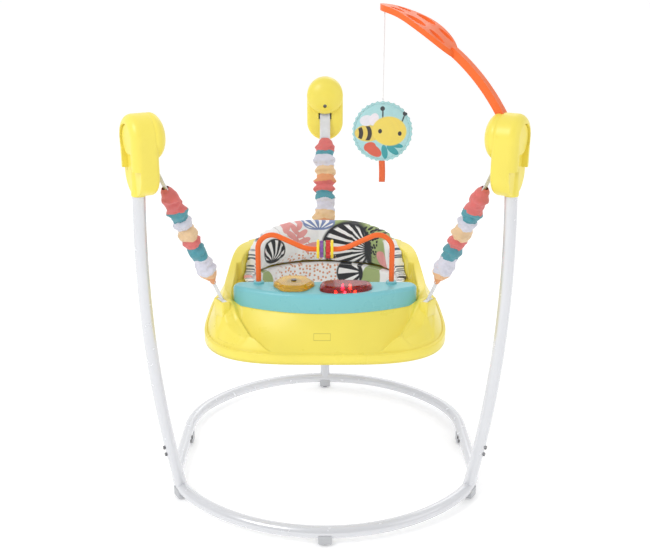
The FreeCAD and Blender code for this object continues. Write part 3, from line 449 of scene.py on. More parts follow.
def line_side(x, y, a, b):
    dx, dy = b[0] - a[0], b[1] - a[1]
    return ((x - a[0]) * dy - (y - a[1]) * dx) / math.hypot(dx, dy)


def outside_ridge(x, y):
    """Signed distance from the ridge between the tray's front and its wings; positive on the wing."""
    pairs = list(zip(RIDGE[:-1], RIDGE[1:]))
    gap = np.min([segment_gap(x, y, a, b) for a, b in pairs], axis=0)
    wing = np.max([-line_side(x, y, a, b) for a, b in pairs], axis=0)
    return np.where(wing > 0, gap, -gap)


def hollow_depth(x, y):
    pairs = list(zip(HOLLOW, HOLLOW[1:] + HOLLOW[:1]))
    gap = np.min([segment_gap(x, y, a, b) for a, b in pairs], axis=0)
    turns = [line_side(x, y, a, b) for a, b in pairs]
    inside = np.logical_or(np.min(turns, axis=0) > 0, np.max(turns, axis=0) < 0)
    edge = np.where(inside, -gap, gap)
    return HOLLOW_DEPTH * smoothstep(0.5 - edge / 6.0)


def anchor_swell(x, y, top, inset):
    """The surface lifted softly round each anchor block."""
    for reach, azimuth in ANCHOR_SPOTS:
        c, d = math.cos(math.radians(azimuth)), math.sin(math.radians(azimuth))
        along = x * c + y * d - reach
        across = y * c - x * d
        lift = smoothstep((1.35 - np.hypot(along / 30.0, across / 40.0)) / 0.9) * smoothstep((y + 172) / 44)
        raised = np.minimum(top + (SWELL_Z - top) * lift, 362.0 + 2.6 * np.clip(inset - 7, 0, 200))
        top = np.maximum(top, raised)
    return top


def tray_surface(x, y):
    """Height of the tray's top, without its collar."""
    inset = inset_at(x, y)
    side = np.abs(x)
    lip = 358 + 3.5 * np.sqrt(np.clip(1 - (1 - inset / 1.5) ** 2, 0, 1))
    ledge = 361.5 + 1.1 * np.clip((inset - 1.5) / 3.5, 0, 1)
    groove = 1.5 * np.exp(-((inset - 7.0) / 1.0) ** 2)
    run = np.clip(inset - 7, 0, 200)
    to_console = np.clip(np.hypot(x, y - CONSOLE_ARC[0]) - CONSOLE_ARC[1], 0, 400)
    front = LEDGE_Z + SLOPE_RISE * (run / np.maximum(run + to_console, 0.001)) ** 1.45
    wing = 418 - 0.12 * (side - 229) + 0.466 * (y + 125)
    wing = np.minimum(np.minimum(wing, LEDGE_Z + 1.9 * np.clip(inset - 7, 0, 200)), PLATEAU_Z)
    share = smoothstep(0.5 + outside_ridge(side, y) / 9.0)
    top = front * (1 - share) + wing * share
    top = anchor_swell(x, y, np.maximum(top, 362.0), inset)
    top = top - hollow_depth(side, y) * share * smoothstep((inset - 9) / 4)
    return np.where(inset < 1.5, lip, np.where(inset < 5, ledge, top - groove))


def collar_height(x, y):
    crest = np.mean([np.interp(y + shift, *COLLAR_CREST) for shift in (-32, -16, 0, 16, 32)], axis=0)
    beside = smoothstep((np.abs(x) - 192) / 8)
    return np.where(y < SEAT_Y, PLATEAU_Z + (crest - PLATEAU_Z) * beside, crest)


def add_tray():
    fine = np.linspace(0, 2 * math.pi, 6001)
    reach = reach_to(lambda x, y: rim_side(x, y, 0.0), fine)
    px, py = reach * np.cos(fine), reach * np.sin(fine)
    run = np.concatenate(([0], np.cumsum(np.hypot(np.diff(px), np.diff(py)))))
    count = TRAY_RING_POINTS
    angle = np.interp(np.arange(count) / count * run[-1], run, fine)
    rim = reach_to(lambda x, y: rim_side(x, y, 0.0), angle)
    outer = reach_to(collar_side, angle)
    foot_x, foot_y = outer * np.cos(angle), 20 + outer * np.sin(angle)
    top = outer - COLLAR_LEAN * np.clip(collar_height(foot_x, foot_y) - tray_surface(foot_x, foot_y), 0, 80)
    inner = np.minimum(reach_to(collar_inner_side, angle), top - 10.0)
    hole = reach_to(oval_side(OPENING), angle)
    rings = []

    def ring(reach, height, drop=0.0):
        x = reach * np.cos(angle)
        y = 20 + reach * np.sin(angle)
        if isinstance(height, (int, float)):
            z = np.full_like(x, float(height))
        else:
            z = height(x, y) - drop
        rings.append([at(*p) for p in zip(x, y, z)])

    def crest(drop):
        return lambda x, y: np.maximum(collar_height(x, y) - drop, tray_surface(x, y))

    ring(rim, TRAY_BASE_Z)
    ring(rim, 350.0)
    for gap in (0.0, 0.2, 0.6, 1.5, 3.2, 5.0, 5.9, 6.5, 7.0, 7.5, 8.1, 9.2):
        ring(rim - gap, tray_surface)
    start = rim - 9.2
    for i in range(1, 57):
        ring(start + (outer + 0.6 - start) * i / 56, tray_surface)
    ring(top, crest(4.0))
    ring(top - 0.5, crest(1.4))
    ring(top - 1.6, crest(0.4))
    for i in range(0, 9):
        ring(top - 3.5 + (inner + 3.5 - top + 3.5) * i / 8, crest(0.0))
    ring(inner + 1.6, crest(0.4))
    ring(inner + 0.5, crest(1.4))
    ring(inner, crest(4.0))
    ring(inner - 0.4, tray_surface)
    for i in range(1, 6):
        ring(inner - 0.4 + (hole + 2.2 - inner + 0.4) * i / 5, PLATEAU_Z)
    ring(hole + 0.8, 424.4)
    ring(hole, 422.6)
    ring(hole, TRAY_BASE_Z)
    ring(hole + 3.0, TRAY_BASE_Z)
    ring(hole + 3.0, 420.0)
    for i in range(0, 21):
        reach = hole + 8.0 + (rim - 12.0 - hole - 8.0) * i / 20
        ring(reach, lambda x, y: np.minimum(tray_surface(x, y), PLATEAU_Z), 4.5)
    ring(rim - 4.0, 356.0)
    ring(rim - 3.2, TRAY_BASE_Z)
    verts = [p for loop in rings for p in loop]
    tray = add_mesh("tray_moulding", verts, grid_faces(len(rings), count, True), "yellow_shell")
    dress(tray, tray_plastic())
    add_bosses(tray)
    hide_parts("tray_shell")
    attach(tray, "seat")


def rounded_rectangle(half_x, half_y, r, count=10):
    points = []
    for quarter, (sx, sy) in enumerate(((1, 1), (-1, 1), (-1, -1), (1, -1))):
        for i in range(count):
            a = math.pi / 2 * (quarter + i / (count - 1))
            points.append((sx * (half_x - r) + r * math.cos(a), sy * (half_y - r) + r * math.sin(a)))
    return points


def add_bosses(tray):
    """The block under each strap's anchor, with the slot that its hook sits in."""
    made = bmesh.new()
    made.from_mesh(tray.data)
    for reach, azimuth in ANCHOR_SPOTS:
        turn = Matrix.Rotation(math.radians(azimuth), 3, "Z")
        loops = []
        for half_x, half_y, r, z in BOSS_LEVELS:
            loop = []
            for x, y in rounded_rectangle(half_x, half_y, r):
                p = turn @ Vector((reach + x, y, 0))
                loop.append(made.verts.new(at(p.x, p.y, z)))
            loops.append(loop)
        for low, high in zip(loops[:-1], loops[1:]):
            for j in range(len(low)):
                k = (j + 1) % len(low)
                made.faces.new((low[j], low[k], high[k], high[j])).smooth = True
        made.faces.new(list(reversed(loops[0])))
        made.faces.new(loops[-1])
    made.to_mesh(tray.data)
    made.free()


# ---- padded backrest -----------------------------------------
def inflate(obj, pressure, cap, frames=20):
    """Blows a closed mesh up with a cloth simulation; no vertex moves further than cap."""
    before = [v.co.copy() for v in obj.data.vertices]
    cloth = obj.modifiers.new("cloth", "CLOTH")
    cloth.settings.use_pressure = True
    cloth.settings.uniform_pressure_force = pressure
    cloth.settings.effector_weights.gravity = 0
    cloth.settings.quality = 6
    cloth.settings.tension_stiffness = 12
    cloth.settings.compression_stiffness = 12
    cloth.settings.bending_stiffness = 0.4
    cloth.point_cache.frame_start = 1
    cloth.point_cache.frame_end = frames
    scene = bpy.context.scene
    for step in range(1, frames + 1):
        scene.frame_set(step)
    graph = bpy.context.evaluated_depsgraph_get()
    shape = obj.evaluated_get(graph)
    after = [v.co.copy() for v in shape.data.vertices]
    obj.modifiers.clear()
    for vertex, old, new in zip(obj.data.vertices, before, after):
        move = new - old
        if move.length > cap:
            move *= cap / move.length
        vertex.co = old + move
    scene.frame_set(1)


PAD_SEAMS = (-112.0, 172.0)
PAD_FACE = (174, 134)    # half sides of the oval that the pad's seams are measured on


def add_pad():
    obj = add_object("seat_cushion", nodes["seat_pad"].data.copy())
    remesh = obj.modifiers.new("remesh", "REMESH")
    remesh.mode = "VOXEL"
    remesh.voxel_size = 0.005
    apply_modifiers(obj)
    for vertex, normal in [(v, v.normal.copy()) for v in obj.data.vertices]:
        vertex.co -= normal * 0.003
    inflate(obj, 4.0, 0.010)
    fine = obj.modifiers.new("fine", "SUBSURF")
    fine.levels = 1
    fine.render_levels = 1
    apply_modifiers(obj)
    pairs = []
    for vertex in obj.data.vertices:
        x = vertex.co.x * 1000
        y = (vertex.co.y + Y_SHIFT) * 1000 - SEAT_Y
        z = vertex.co.z * 1000
        u = math.atan2(x / PAD_FACE[0], y / PAD_FACE[1]) * 150
        share = math.hypot(x / PAD_FACE[0], y / PAD_FACE[1])
        seam = sum(math.exp(-((u - where) / 2.6) ** 2) for where in PAD_SEAMS)
        pull = 1 + 2.0 * seam * (1 if share < 1 else -1) / math.hypot(x, y)
        x, y = x * pull, y * pull
        if abs(u) > 200:
            u += math.copysign(170 * (1 - share), u) * float(smoothstep((abs(u) - 200) / 50))
        share = math.hypot(x / 190, y / 150)
        if share > 0.992 and z < float(collar_height(x, y + SEAT_Y)) + 2:
            x, y = x * 0.992 / share, y * 0.992 / share
        z = max(z, 427.2)
        vertex.co = at(x, y + SEAT_Y, z)
        pairs.append((u / 100, z / 100))
    set_uv(obj, pairs)
    obj.data.polygons.foreach_set("use_smooth", [True] * len(obj.data.polygons))
    dress(obj, seat_print())
    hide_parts("seat_pad")
    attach(obj, "seat")


# ---- seat sling ----------------------------------------------
LEG_HOLE = (56, 26, 42, 50)               # middle and half sides of a leg hole


def hole_share(x, y, side):
    """How far out a point lies from the middle of one leg hole; 1 is its edge."""
    return math.hypot((x - side * LEG_HOLE[0]) / LEG_HOLE[2], (y - LEG_HOLE[1]) / LEG_HOLE[3])


def add_sling():
    """The cloth seat: a bucket hung in the tray's opening, with two leg holes in its bottom."""
    count = 160
    rings = []
    for i in range(25):
        t = i / 24
        rx, ry = 157.5 - 41.0 * t ** 1.6, 117.5 - 26.0 * t ** 1.6
        y = SEAT_Y - 4 * t
        z = 423.5 - (423.5 - 262.0) * t
        if i == 0:
            rings.append((172.5, 132.5, SEAT_Y, 426.0, -1.0))
            rings.append((167.0, 127.0, SEAT_Y, 426.0, -1.0))
            rings.append((162.0, 122.0, SEAT_Y, 425.0, 0.0))
        rings.append((rx, ry, y, z, t))
    for i in range(1, 15):
        f = 1 - i / 14.6
        rings.append((116.5 * f, 91.5 * f, SEAT_Y - 4, 262.0 - 2.5 * (1 - f * f), 1.0))
    verts = []
    for rx, ry, y, z, t in rings:
        for j in range(count):
            a = 2 * math.pi * j / count
            fold = 1 - 0.012 * max(t, 0) * (1 - t) * 4 * (0.5 + 0.5 * math.sin(11 * a + 2 * math.sin(3 * a)))
            if t < 0:
                behind = float(smoothstep(math.sin(a) * 4 + 0.5))
                fold = (162.4 + (rx - 162.4) * (0.1 + 0.9 * behind)) / rx
            verts.append(at(rx * fold * math.cos(a), y + ry * fold * math.sin(a), z))
    faces = grid_faces(len(rings), count)
    verts.append(at(0, SEAT_Y - 4, 259.4))
    last = (len(rings) - 1) * count
    faces += [(last + j, last + (j + 1) % count, len(verts) - 1) for j in range(count)]
    kept = []
    for face in faces:
        middle = sum((verts[i] for i in face), Vector()) / len(face)
        x, y = middle.x * 1000, (middle.y + Y_SHIFT) * 1000
        in_hole = min(hole_share(x, y, side) for side in (-1, 1)) < 1.0
        if not (in_hole and middle.z < 0.300):
            kept.append(face)
    sling = add_mesh("seat_cloth", verts, kept, "sling_fabric")
    made = bmesh.new()
    made.from_mesh(sling.data)
    bmesh.ops.delete(made, geom=[v for v in made.verts if not v.link_faces], context="VERTS")
    for vertex in made.verts:
        if not vertex.is_boundary or vertex.co.z > 0.400:
            continue
        x, y = vertex.co.x * 1000, (vertex.co.y + Y_SHIFT) * 1000
        side = 1 if x > 0 else -1
        share = hole_share(x, y, side)
        if vertex.co.z < 0.275:
            middle_x, middle_y = side * LEG_HOLE[0], LEG_HOLE[1]
            spot = at(middle_x + (x - middle_x) * 1.01 / share, middle_y + (y - middle_y) * 1.01 / share, 0)
            vertex.co.x, vertex.co.y = spot.x, spot.y
    bmesh.ops.recalc_face_normals(made, faces=made.faces)
    area = sum(face.calc_area() for face in made.faces)
    made.to_mesh(sling.data)
    made.free()
    pairs = []
    for vertex in sling.data.vertices:
        x, y = vertex.co.x * 1000, (vertex.co.y + Y_SHIFT) * 1000 - SEAT_Y
        pairs.append((math.atan2(x / PAD_FACE[0], y / PAD_FACE[1]) * 1.5, vertex.co.z * 10))
    set_uv(sling, pairs)
    solidify(sling, 0.0014, 0.0)
    dress(sling, sling_print())
    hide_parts("seat_sling")
    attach(sling, "seat")


# ---- straps, springs and their covers ------------------------
TOWER_RHO = {"left": 414.05, "right": 414.05, "back": 406.61}
AZIMUTHS = {"left": 211.5, "right": -31.5, "back": 90.0}
ANCHORS = {"left": 254.0, "right": 254.0, "back": 223.0}


def strap_axes(side):
    """Start, length and axes (down the strap, across it, through it) of one tower's strap."""
    turn = Matrix.Rotation(math.radians(AZIMUTHS[side]), 3, "Z")
    top = turn @ Vector((TOWER_RHO[side] - 29.0, 0, 738.0))
    low = turn @ Vector((ANCHORS[side], 0, 440.0))
    down = (low - top).normalized()
    across = turn @ Vector((0, 1, 0))
    return top, (low - top).length, down, across, across.cross(down)


def add_covers():
    """A scrunched fabric tube round each spring, sewn from bands of different cloth."""
    profile = ((0, 0.42), (0.03, 0.72), (0.1, 1.06), (0.18, 0.92), (0.25, 1.22), (0.31, 0.86), (0.35, 1.16),
               (0.395, 0.84), (0.46, 1.2), (0.51, 0.9), (0.55, 1.14), (0.59, 0.82), (0.65, 1.1), (0.71, 0.9),
               (0.79, 1.04), (0.85, 1.2), (0.9, 1.06), (0.94, 0.74), (0.98, 0.52), (1, 0.46))
    where, scale = zip(*profile)
    count, steps = 96, 200
    for number, side in enumerate(AZIMUTHS):
        top, total, down, across, through = strap_axes(side)
        verts, pairs = [], []
        for i in range(steps + 1):
            s = i / steps
            base = float(np.interp(s, where, scale))
            for j in range(count):
                a = 2 * math.pi * j / count
                c, d = math.cos(a), math.sin(a)
                spot = Vector((1.1 * c, 1.1 * d + 5.0 * number, 17.0 * s))
                deep = noise.noise(spot) + 0.5 * noise.noise(spot * 2.3 + Vector((7, 3, 1)))
                lean = s + 0.012 * math.sin(a + 9 * s + number) + 0.006 * math.sin(2 * a - 21 * s)
                ripple = math.sin(2 * math.pi * 13 * lean + 1.3 * math.sin(a * 2 + number))
                loose = min(1.0, 6 * (1 - s), 12 * s + 0.2)
                r = base * (1 + loose * (0.17 * deep + 0.06 * ripple)) * 1.02
                p = top + down * (total * (0.15 + 0.71 * s) + 2.2 * loose * deep)
                sway = 1.8 * loose * math.sin(19 * s + 2 * number)
                half_deep = max(15.5 * r - 6.0 * max(0, s - 0.9) / 0.1, 4.0)
                p = p + across * (22.0 * r * c + sway) + through * (half_deep * d)
                verts.append(at(p.x, p.y, p.z))
                pairs.append((a / (2 * math.pi), s))
        cover = add_mesh("spring_sleeve_" + side, verts, grid_faces(steps + 1, count), "cover_fabric")
        set_uv(cover, pairs)
        solidify(cover, 0.0008)
        dress(cover, BANDS_BACK if side == "back" else BANDS_SIDE)
        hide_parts("spring_cover_" + side)
        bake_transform(cover)


STRAP_SECTION = ((-1, -0.55), (-0.93, -1), (-0.5, -0.9), (0, -1), (0.5, -0.9), (0.93, -1), (1, -0.55),
                 (1, 0.55), (0.93, 1), (0.5, 0.9), (0, 1), (-0.5, 0.9), (-0.93, 1), (-1, 0.55))


def add_straps():
    verts, faces = [], []
    count = len(STRAP_SECTION)
    for side in AZIMUTHS:
        top, total, down, across, through = strap_axes(side)
        steps = 60
        for i in range(steps + 1):
            along = -24.0 + (total + 21.0) * i / steps
            pinch = max(0.0, (along / total - 0.88) / 0.12)
            half_w = 13.0 - 4.5 * min(1.0, pinch)
            half_t = 0.9 + 0.5 * min(1.0, pinch)
            base = len(verts)
            for x, y in STRAP_SECTION:
                p = top + down * along + across * (half_w * x) + through * (half_t * y)
                verts.append(at(p.x, p.y, p.z))
            if i:
                low = base - count
                for j in range(count):
                    k = (j + 1) % count
                    faces.append((low + j, low + k, base + k, base + j))
            else:
                faces.append(tuple(range(count - 1, -1, -1)))
        faces.append(tuple(range(len(verts) - count, len(verts))))
    straps = add_mesh("jumper_straps", verts, faces, "webbing")
    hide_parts("upper_straps", "lower_straps")
    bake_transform(straps)


def add_return_spring():
    """The push dome's spring, which shortens as the dome goes down; here it keeps the CAD part's shape."""
    spring = add_object("return_spring", nodes["button_spring"].data.copy())
    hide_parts("button_spring")
    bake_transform(spring)


def add_springs():
    springs = add_object("coil_springs", nodes["bounce_springs"].data.copy())
    dress(springs, MATERIALS["spring_steel"])
    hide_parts("bounce_springs")
    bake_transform(springs)


# ---- tower feet ----------------------------------------------
def leg_centre(side, z):
    made = bmesh.new()
    made.from_mesh(nodes["leg_tube_" + side].data)
    parts = made.verts[:] + made.edges[:] + made.faces[:]
    cut = bmesh.ops.bisect_plane(made, geom=parts, plane_co=(0, 0, z), plane_no=(0, 0, 1))["geom_cut"]
    spots = [v.co.copy() for v in cut if isinstance(v, bmesh.types.BMVert)]
    made.free()
    low = [min(p[i] for p in spots) for i in (0, 1)]
    high = [max(p[i] for p in spots) for i in (0, 1)]
    return (low[0] + high[0]) / 2, (low[1] + high[1]) / 2


def add_leg_sleeves():
    """The lower end of each tower closes round its leg, which would otherwise show in the recess."""
    levels = ((0.6850, 13.2), (0.6845, 13.9), (0.6852, 14.6), (0.6870, 14.9), (0.7000, 14.9), (0.7150, 14.9),
              (0.7380, 14.9), (0.7380, 13.2), (0.7150, 13.2), (0.7000, 13.2))
    count = 64
    for side in AZIMUTHS:
        verts = []
        for z, r in levels:
            x, y = leg_centre(side, z)
            for j in range(count):
                a = 2 * math.pi * j / count
                verts.append((x + r / 1000 * math.cos(a), y + r / 1000 * math.sin(a), z))
        sleeve = add_mesh("leg_sleeve_" + side, verts, grid_faces(len(levels), count, True), "yellow_shell")
        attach(sleeve, "frame")


# ---- hanging toy ---------------------------------------------
PINKED_EDGE = ((0.0560, -0.0009), (0.0600, -0.0008), (0.0622, -0.0006),    # radius and height, seam to teeth
               (0.0622, 0.0006), (0.0600, 0.0008), (0.0560, 0.0009))


def add_toy_cord():
    low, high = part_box("toy_cord")
    x = (low[0] + high[0]) / 2
    y = (low[1] + high[1]) / 2
    curve = bpy.data.curves.new("toy_string", "CURVE")
    curve.dimensions = "3D"
    curve.bevel_depth = 0.0009
    curve.bevel_resolution = 4
    spline = curve.splines.new("NURBS")
    heights = [high[2], high[2] - 0.0108, low[2] + 0.0108, low[2]]
    spline.points.add(len(heights) - 1)
    for point, z in zip(spline.points, heights):
        point.co = (x, y, z, 1)
    spline.order_u = 3
    spline.use_endpoint_u = True
    cord = add_object("toy_string", curve)
    curve.materials.append(MATERIALS["white_cord"].mat)
    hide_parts("toy_cord")
    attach(cord, "toy_cord_swing")


def add_toy():
    """A stuffed disc of cloth with a pinked edge outside its seam."""
    low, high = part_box("hanging_toy")
    middle = Vector([(a + b) / 2 for a, b in zip(low, high)])
    count, steps, seam_r = 144, 22, 0.0575
    verts, faces = [], []
    for face_side in (1, -1):
        base = len(verts)
        for i in range(steps + 1):
            r = seam_r * (1 - i / steps)
            lift = 0.0035 * (1 - (r / seam_r) ** 2) ** 0.5
            for j in range(1 if i == steps else count):
                a = 2 * math.pi * j / count
                verts.append(Vector((r * math.cos(a), -face_side * lift, r * math.sin(a))))
        for i in range(steps - 1):
            for j in range(count):
                k = (j + 1) % count
                quad = (base + i * count + j, base + i * count + k, base + (i + 1) * count + k,
                        base + (i + 1) * count + j)
                faces.append(quad if face_side > 0 else quad[::-1])
        tip = base + steps * count
        for j in range(count):
            tri = (tip - count + j, tip - count + (j + 1) % count, tip)
            faces.append(tri if face_side > 0 else tri[::-1])
    toy = add_mesh("cloth_toy", verts, faces, "toy_fabric")
    made = bmesh.new()
    made.from_mesh(toy.data)
    bmesh.ops.remove_doubles(made, verts=made.verts, dist=0.00005)
    bmesh.ops.recalc_face_normals(made, faces=made.faces)
    made.to_mesh(toy.data)
    made.free()
    inflate(toy, 3.0, 0.0095)
    for vertex in toy.data.vertices:
        x, y, z = vertex.co
        r = math.hypot(x, z)
        a = math.atan2(z, x)
        edge = max(0.0, 1 - abs(r / seam_r - 0.9) / 0.14)
        pucker = 0.0007 * edge * math.sin(26 * a + 2.2 * math.sin(3 * a))
        fuller = 0.0115 * max(0.0, 1 - (r / seam_r) ** 2) ** 0.55
        if abs(y) > 0.0148:
            y = math.copysign(min(fuller, 0.0142) + 0.0003, y) if r < seam_r * 0.99 else y
        vertex.co.y = y + math.copysign(pucker, y) if r < seam_r * 0.99 else y * 0.3
    border = []
    for r, y in PINKED_EDGE:
        for j in range(count * 3):
            a = 2 * math.pi * j / (count * 3)
            tooth = abs((j * 34 / (count * 3)) % 1 - 0.5) * 2
            wave = 0.0009 * math.sin(8 * a + 1) * (1 if r > 0.058 else 0)
            reach = r - (0.0028 * tooth if r > 0.061 else 0)
            border.append(Vector((reach * math.cos(a), y + wave, reach * math.sin(a))))
    quads = grid_faces(len(PINKED_EDGE), count * 3, True)
    made = bmesh.new()
    made.from_mesh(toy.data)
    rim = [made.verts.new(v) for v in border]
    for quad in quads:
        made.faces.new([rim[i] for i in quad]).smooth = True
    bmesh.ops.recalc_face_normals(made, faces=made.faces)
    made.to_mesh(toy.data)
    made.free()
    set_uv(toy, [(v.co.x / 0.063, v.co.z / 0.063) for v in toy.data.vertices])
    for vertex in toy.data.vertices:
        vertex.co += middle
    dress(toy, toy_print())
    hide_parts("hanging_toy")
    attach(toy, "toy")
    add_ribbon(middle)


def add_ribbon(middle):
    """A folded tag of ribbon under the toy."""
    steps = 40
    verts = []
    for i in range(2 * steps + 1):
        share = (steps - i) / steps
        drop = 1 - abs(share)
        bow = 0.0013 * math.sin(math.pi * min(1.0, (1 - drop) * 1.1)) + 0.0006
        y = math.copysign(bow, share) if i != steps else 0.0
        z = -0.0605 - 0.0445 * drop
        sway = 0.0012 * math.sin(2.2 * drop)
        for k in range(5):
            across = (k / 4 - 0.5) * 0.0126
            verts.append(middle + Vector((across + sway, -y + 0.0003 * math.cos(2 * math.pi * k / 4), z)))
    faces = []
    for i in range(2 * steps):
        for k in range(4):
            a = i * 5 + k
            faces.append((a, a + 1, a + 6, a + 5))
    tag = add_mesh("ribbon_tag", verts, faces, "ribbon")
    solidify(tag, 0.0004, 0.0)
    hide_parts("toy_ribbon")
    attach(tag, "toy")


# ---- prints --------------------------------------------------
class Print(Surface):
    """Cloth printed with flat shapes, placed by the mesh's own print coordinates."""

    def __init__(self, name, ground, rough=0.85):
        super().__init__(name, ground, rough, Sheen_Weight=0.2, Sheen_Roughness=0.5)
        self.place = self.node("ShaderNodeUVMap", uv_map="print")
        self.ink = self.blotches(30.0, ground, 0.97, 1.02)

    def local(self, x, y, rx, ry, degrees=0.0):
        """Coordinates in which an ellipse is the unit circle."""
        made = self.node("ShaderNodeMapping", vector_type="TEXTURE", Location=(x, y, 0), Scale=(rx, ry, 1),
                         Rotation=(0, 0, math.radians(degrees)))
        self.link(self.place.outputs["UV"], made.inputs["Vector"])
        return made.outputs["Vector"]

    def inside(self, local, soft=0.04):
        size = self.node("ShaderNodeVectorMath", operation="LENGTH")
        self.link(local, size.inputs[0])
        return self.ramp(size.outputs["Value"], 1, 0, 1 - soft, 1 + soft)

    def paint(self, mask, colour):
        self.ink = self.mix(mask, self.ink, colour)

    def blobs(self, colour, *ellipses):
        for ellipse in ellipses:
            self.paint(self.inside(self.local(*ellipse)), colour)

    def fan_leaf(self, x, y, rx, ry, degrees, dark, light, blades):
        """A leaf with pale blades that spread from a point near its local +X end."""
        local = self.local(x, y, rx, ry, degrees)
        self.paint(self.inside(local), dark)
        inner = self.inside(self.local(x, y, rx * 0.88, ry * 0.88, degrees))
        ax, ay, _ = self.axes(local)
        far = self.math("SUBTRACT", 0.98, ax)
        turn = self.math("ARCTAN2", ay, far)
        wave = self.ramp(self.math("SINE", self.math("MULTIPLY", turn, float(blades))), 0, 1, 0.05, 0.3)
        away = self.ramp(far, 0, 1, 0.28, 0.42)
        self.paint(self.math("MULTIPLY", self.math("MULTIPLY", wave, inner), away), light)

    def striped_leaf(self, x, y, rx, ry, degrees, dark, light, stripes):
        """A leaf crossed by curved stripes."""
        local = self.local(x, y, rx, ry, degrees)
        self.paint(self.inside(local), dark)
        inner = self.inside(self.local(x, y, rx * 0.93, ry * 0.86, degrees))
        ax, ay, _ = self.axes(local)
        bent = self.math("ADD", ax, self.math("MULTIPLY", self.math("MULTIPLY", ay, ay), 0.25))
        swing = self.math("SINE", self.math("MULTIPLY", bent, float(stripes) * 3.14))
        wave = self.ramp(swing, 0, 1, -0.1, 0.15)
        self.paint(self.math("MULTIPLY", wave, inner), light)

    def dots(self, region, scale, size, colour, stretch=(1, 1, 1), turn=0.0):
        made = self.node("ShaderNodeMapping", Scale=stretch, Rotation=(0, 0, math.radians(turn)))
        self.link(self.place.outputs["UV"], made.inputs["Vector"])
        cells = self.node("ShaderNodeTexVoronoi", voronoi_dimensions="2D", Scale=scale, Randomness=0.75)
        self.link(made.outputs["Vector"], cells.inputs["Vector"])
        mask = self.ramp(cells.outputs["Distance"], 1, 0, size * 0.8, size * 1.2)
        self.paint(self.math("MULTIPLY", mask, region), colour)

    def done(self, pitch=0.0007):
        threads = woven(self, pitch, 0.3)
        # Painted shade: the ink darkens in the low places between the threads.
        self.colour(self.mix(self.ramp(threads, 0.10, 0.0, 0.0, 3.0), self.ink, (0.3, 0.3, 0.3)))
        return self


INK_BLACK = (0.018, 0.02, 0.026)
INK_WHITE = (0.97, 0.97, 0.97)
INK_PINK = (0.86, 0.37, 0.36)
INK_GREEN = (0.39, 0.49, 0.20)
INK_BLUE = (0.20, 0.27, 0.50)
INK_RUST = (0.76, 0.36, 0.20)


def seat_print():
    s = Print("seat_print", INK_WHITE)
    u, _, _ = s.axes(s.place.outputs["UV"])
    ends = s.math("MAXIMUM", s.ramp(u, 1, 0, -1.80, -1.78), s.ramp(u, 0, 1, 1.74, 1.76))
    s.dots(ends, 13.0, 0.30, (0.10, 0.14, 0.20), (1.6, 0.9, 1), 30.0)
    s.blobs(INK_PINK, (-0.92, 5.20, 0.15, 0.075, 50), (-0.74, 5.16, 0.16, 0.07, 115),
            (-0.60, 5.22, 0.13, 0.06, 60), (-0.84, 5.02, 0.17, 0.075, 140), (-0.56, 5.02, 0.16, 0.07, 35),
            (-0.50, 4.86, 0.15, 0.07, 20), (-0.70, 4.86, 0.15, 0.07, 130), (-0.30, 4.74, 0.17, 0.065, 10),
            (-0.44, 4.66, 0.12, 0.06, 100), (-0.14, 4.66, 0.12, 0.05, 60), (-0.60, 5.02, 0.40, 0.018, -48))
    s.dots(s.inside(s.local(-0.41, 4.22, 0.74, 0.36, 0), 0.12), 10.5, 0.27, INK_RUST)
    s.blobs(INK_GREEN, (0.92, 5.22, 0.86, 0.24, -6), (1.24, 4.62, 0.36, 0.74, 10))
    s.blobs(INK_PINK, (1.50, 4.46, 0.13, 0.26, 12), (1.36, 4.22, 0.20, 0.09, 40))
    s.fan_leaf(-0.14, 5.26, 0.16, 0.37, -90, INK_BLUE, INK_WHITE, 18)
    s.dots(s.inside(s.local(1.18, 5.18, 0.30, 0.26, 0), 0.1), 12.0, 0.42, INK_BLACK)
    s.fan_leaf(0.57, 4.69, 0.66, 0.62, 0, INK_BLACK, INK_WHITE, 30)
    s.dots(s.inside(s.local(0.16, 4.40, 0.26, 0.12, -50), 0.1), 16.0, 0.24, (0.72, 0.48, 0.34))
    s.dots(s.inside(s.local(1.28, 4.86, 0.12, 0.34, 0), 0.1), 12.0, 0.40, INK_BLACK)
    s.fan_leaf(-1.33, 4.69, 0.31, 0.31, -92, INK_BLACK, INK_WHITE, 18)
    s.blobs(INK_BLACK, (-1.29, 4.12, 0.15, 0.15, 0))
    s.blobs(INK_WHITE, (-1.33, 4.18, 0.06, 0.05, 30))
    s.blobs(INK_BLACK, (-0.92, 4.10, 0.25, 0.14, 20))
    s.blobs(INK_WHITE, (-0.93, 4.07, 0.13, 0.08, 20))
    s.blobs(INK_GREEN, (-1.62, 4.16, 0.16, 0.12, 60))
    s.striped_leaf(-1.75, 5.15, 0.52, 0.22, 24, INK_BLACK, INK_WHITE, 5)
    s.blobs(INK_PINK, (-2.70, 4.62, 0.13, 0.19, 20), (-2.56, 4.44, 0.12, 0.16, -40),
            (2.30, 5.00, 0.11, 0.26, -28))
    s.striped_leaf(2.75, 4.60, 0.40, 0.17, 74, INK_BLACK, INK_WHITE, 4)
    # Painted shade: a darker line along each of the pad's two seams.
    seams = [s.math("MULTIPLY", s.ramp(u, 0, 1, start, middle), s.ramp(u, 1, 0, middle, end))
             for start, middle, end in ((-1.135, -1.12, -1.105), (1.705, 1.72, 1.735))]
    s.paint(s.math("MULTIPLY", s.math("MAXIMUM", *seams), 0.45), (0.25, 0.25, 0.27))
    s.bump(s.noise(38.0, 3.0), 0.35, 0.004)
    return s.done()


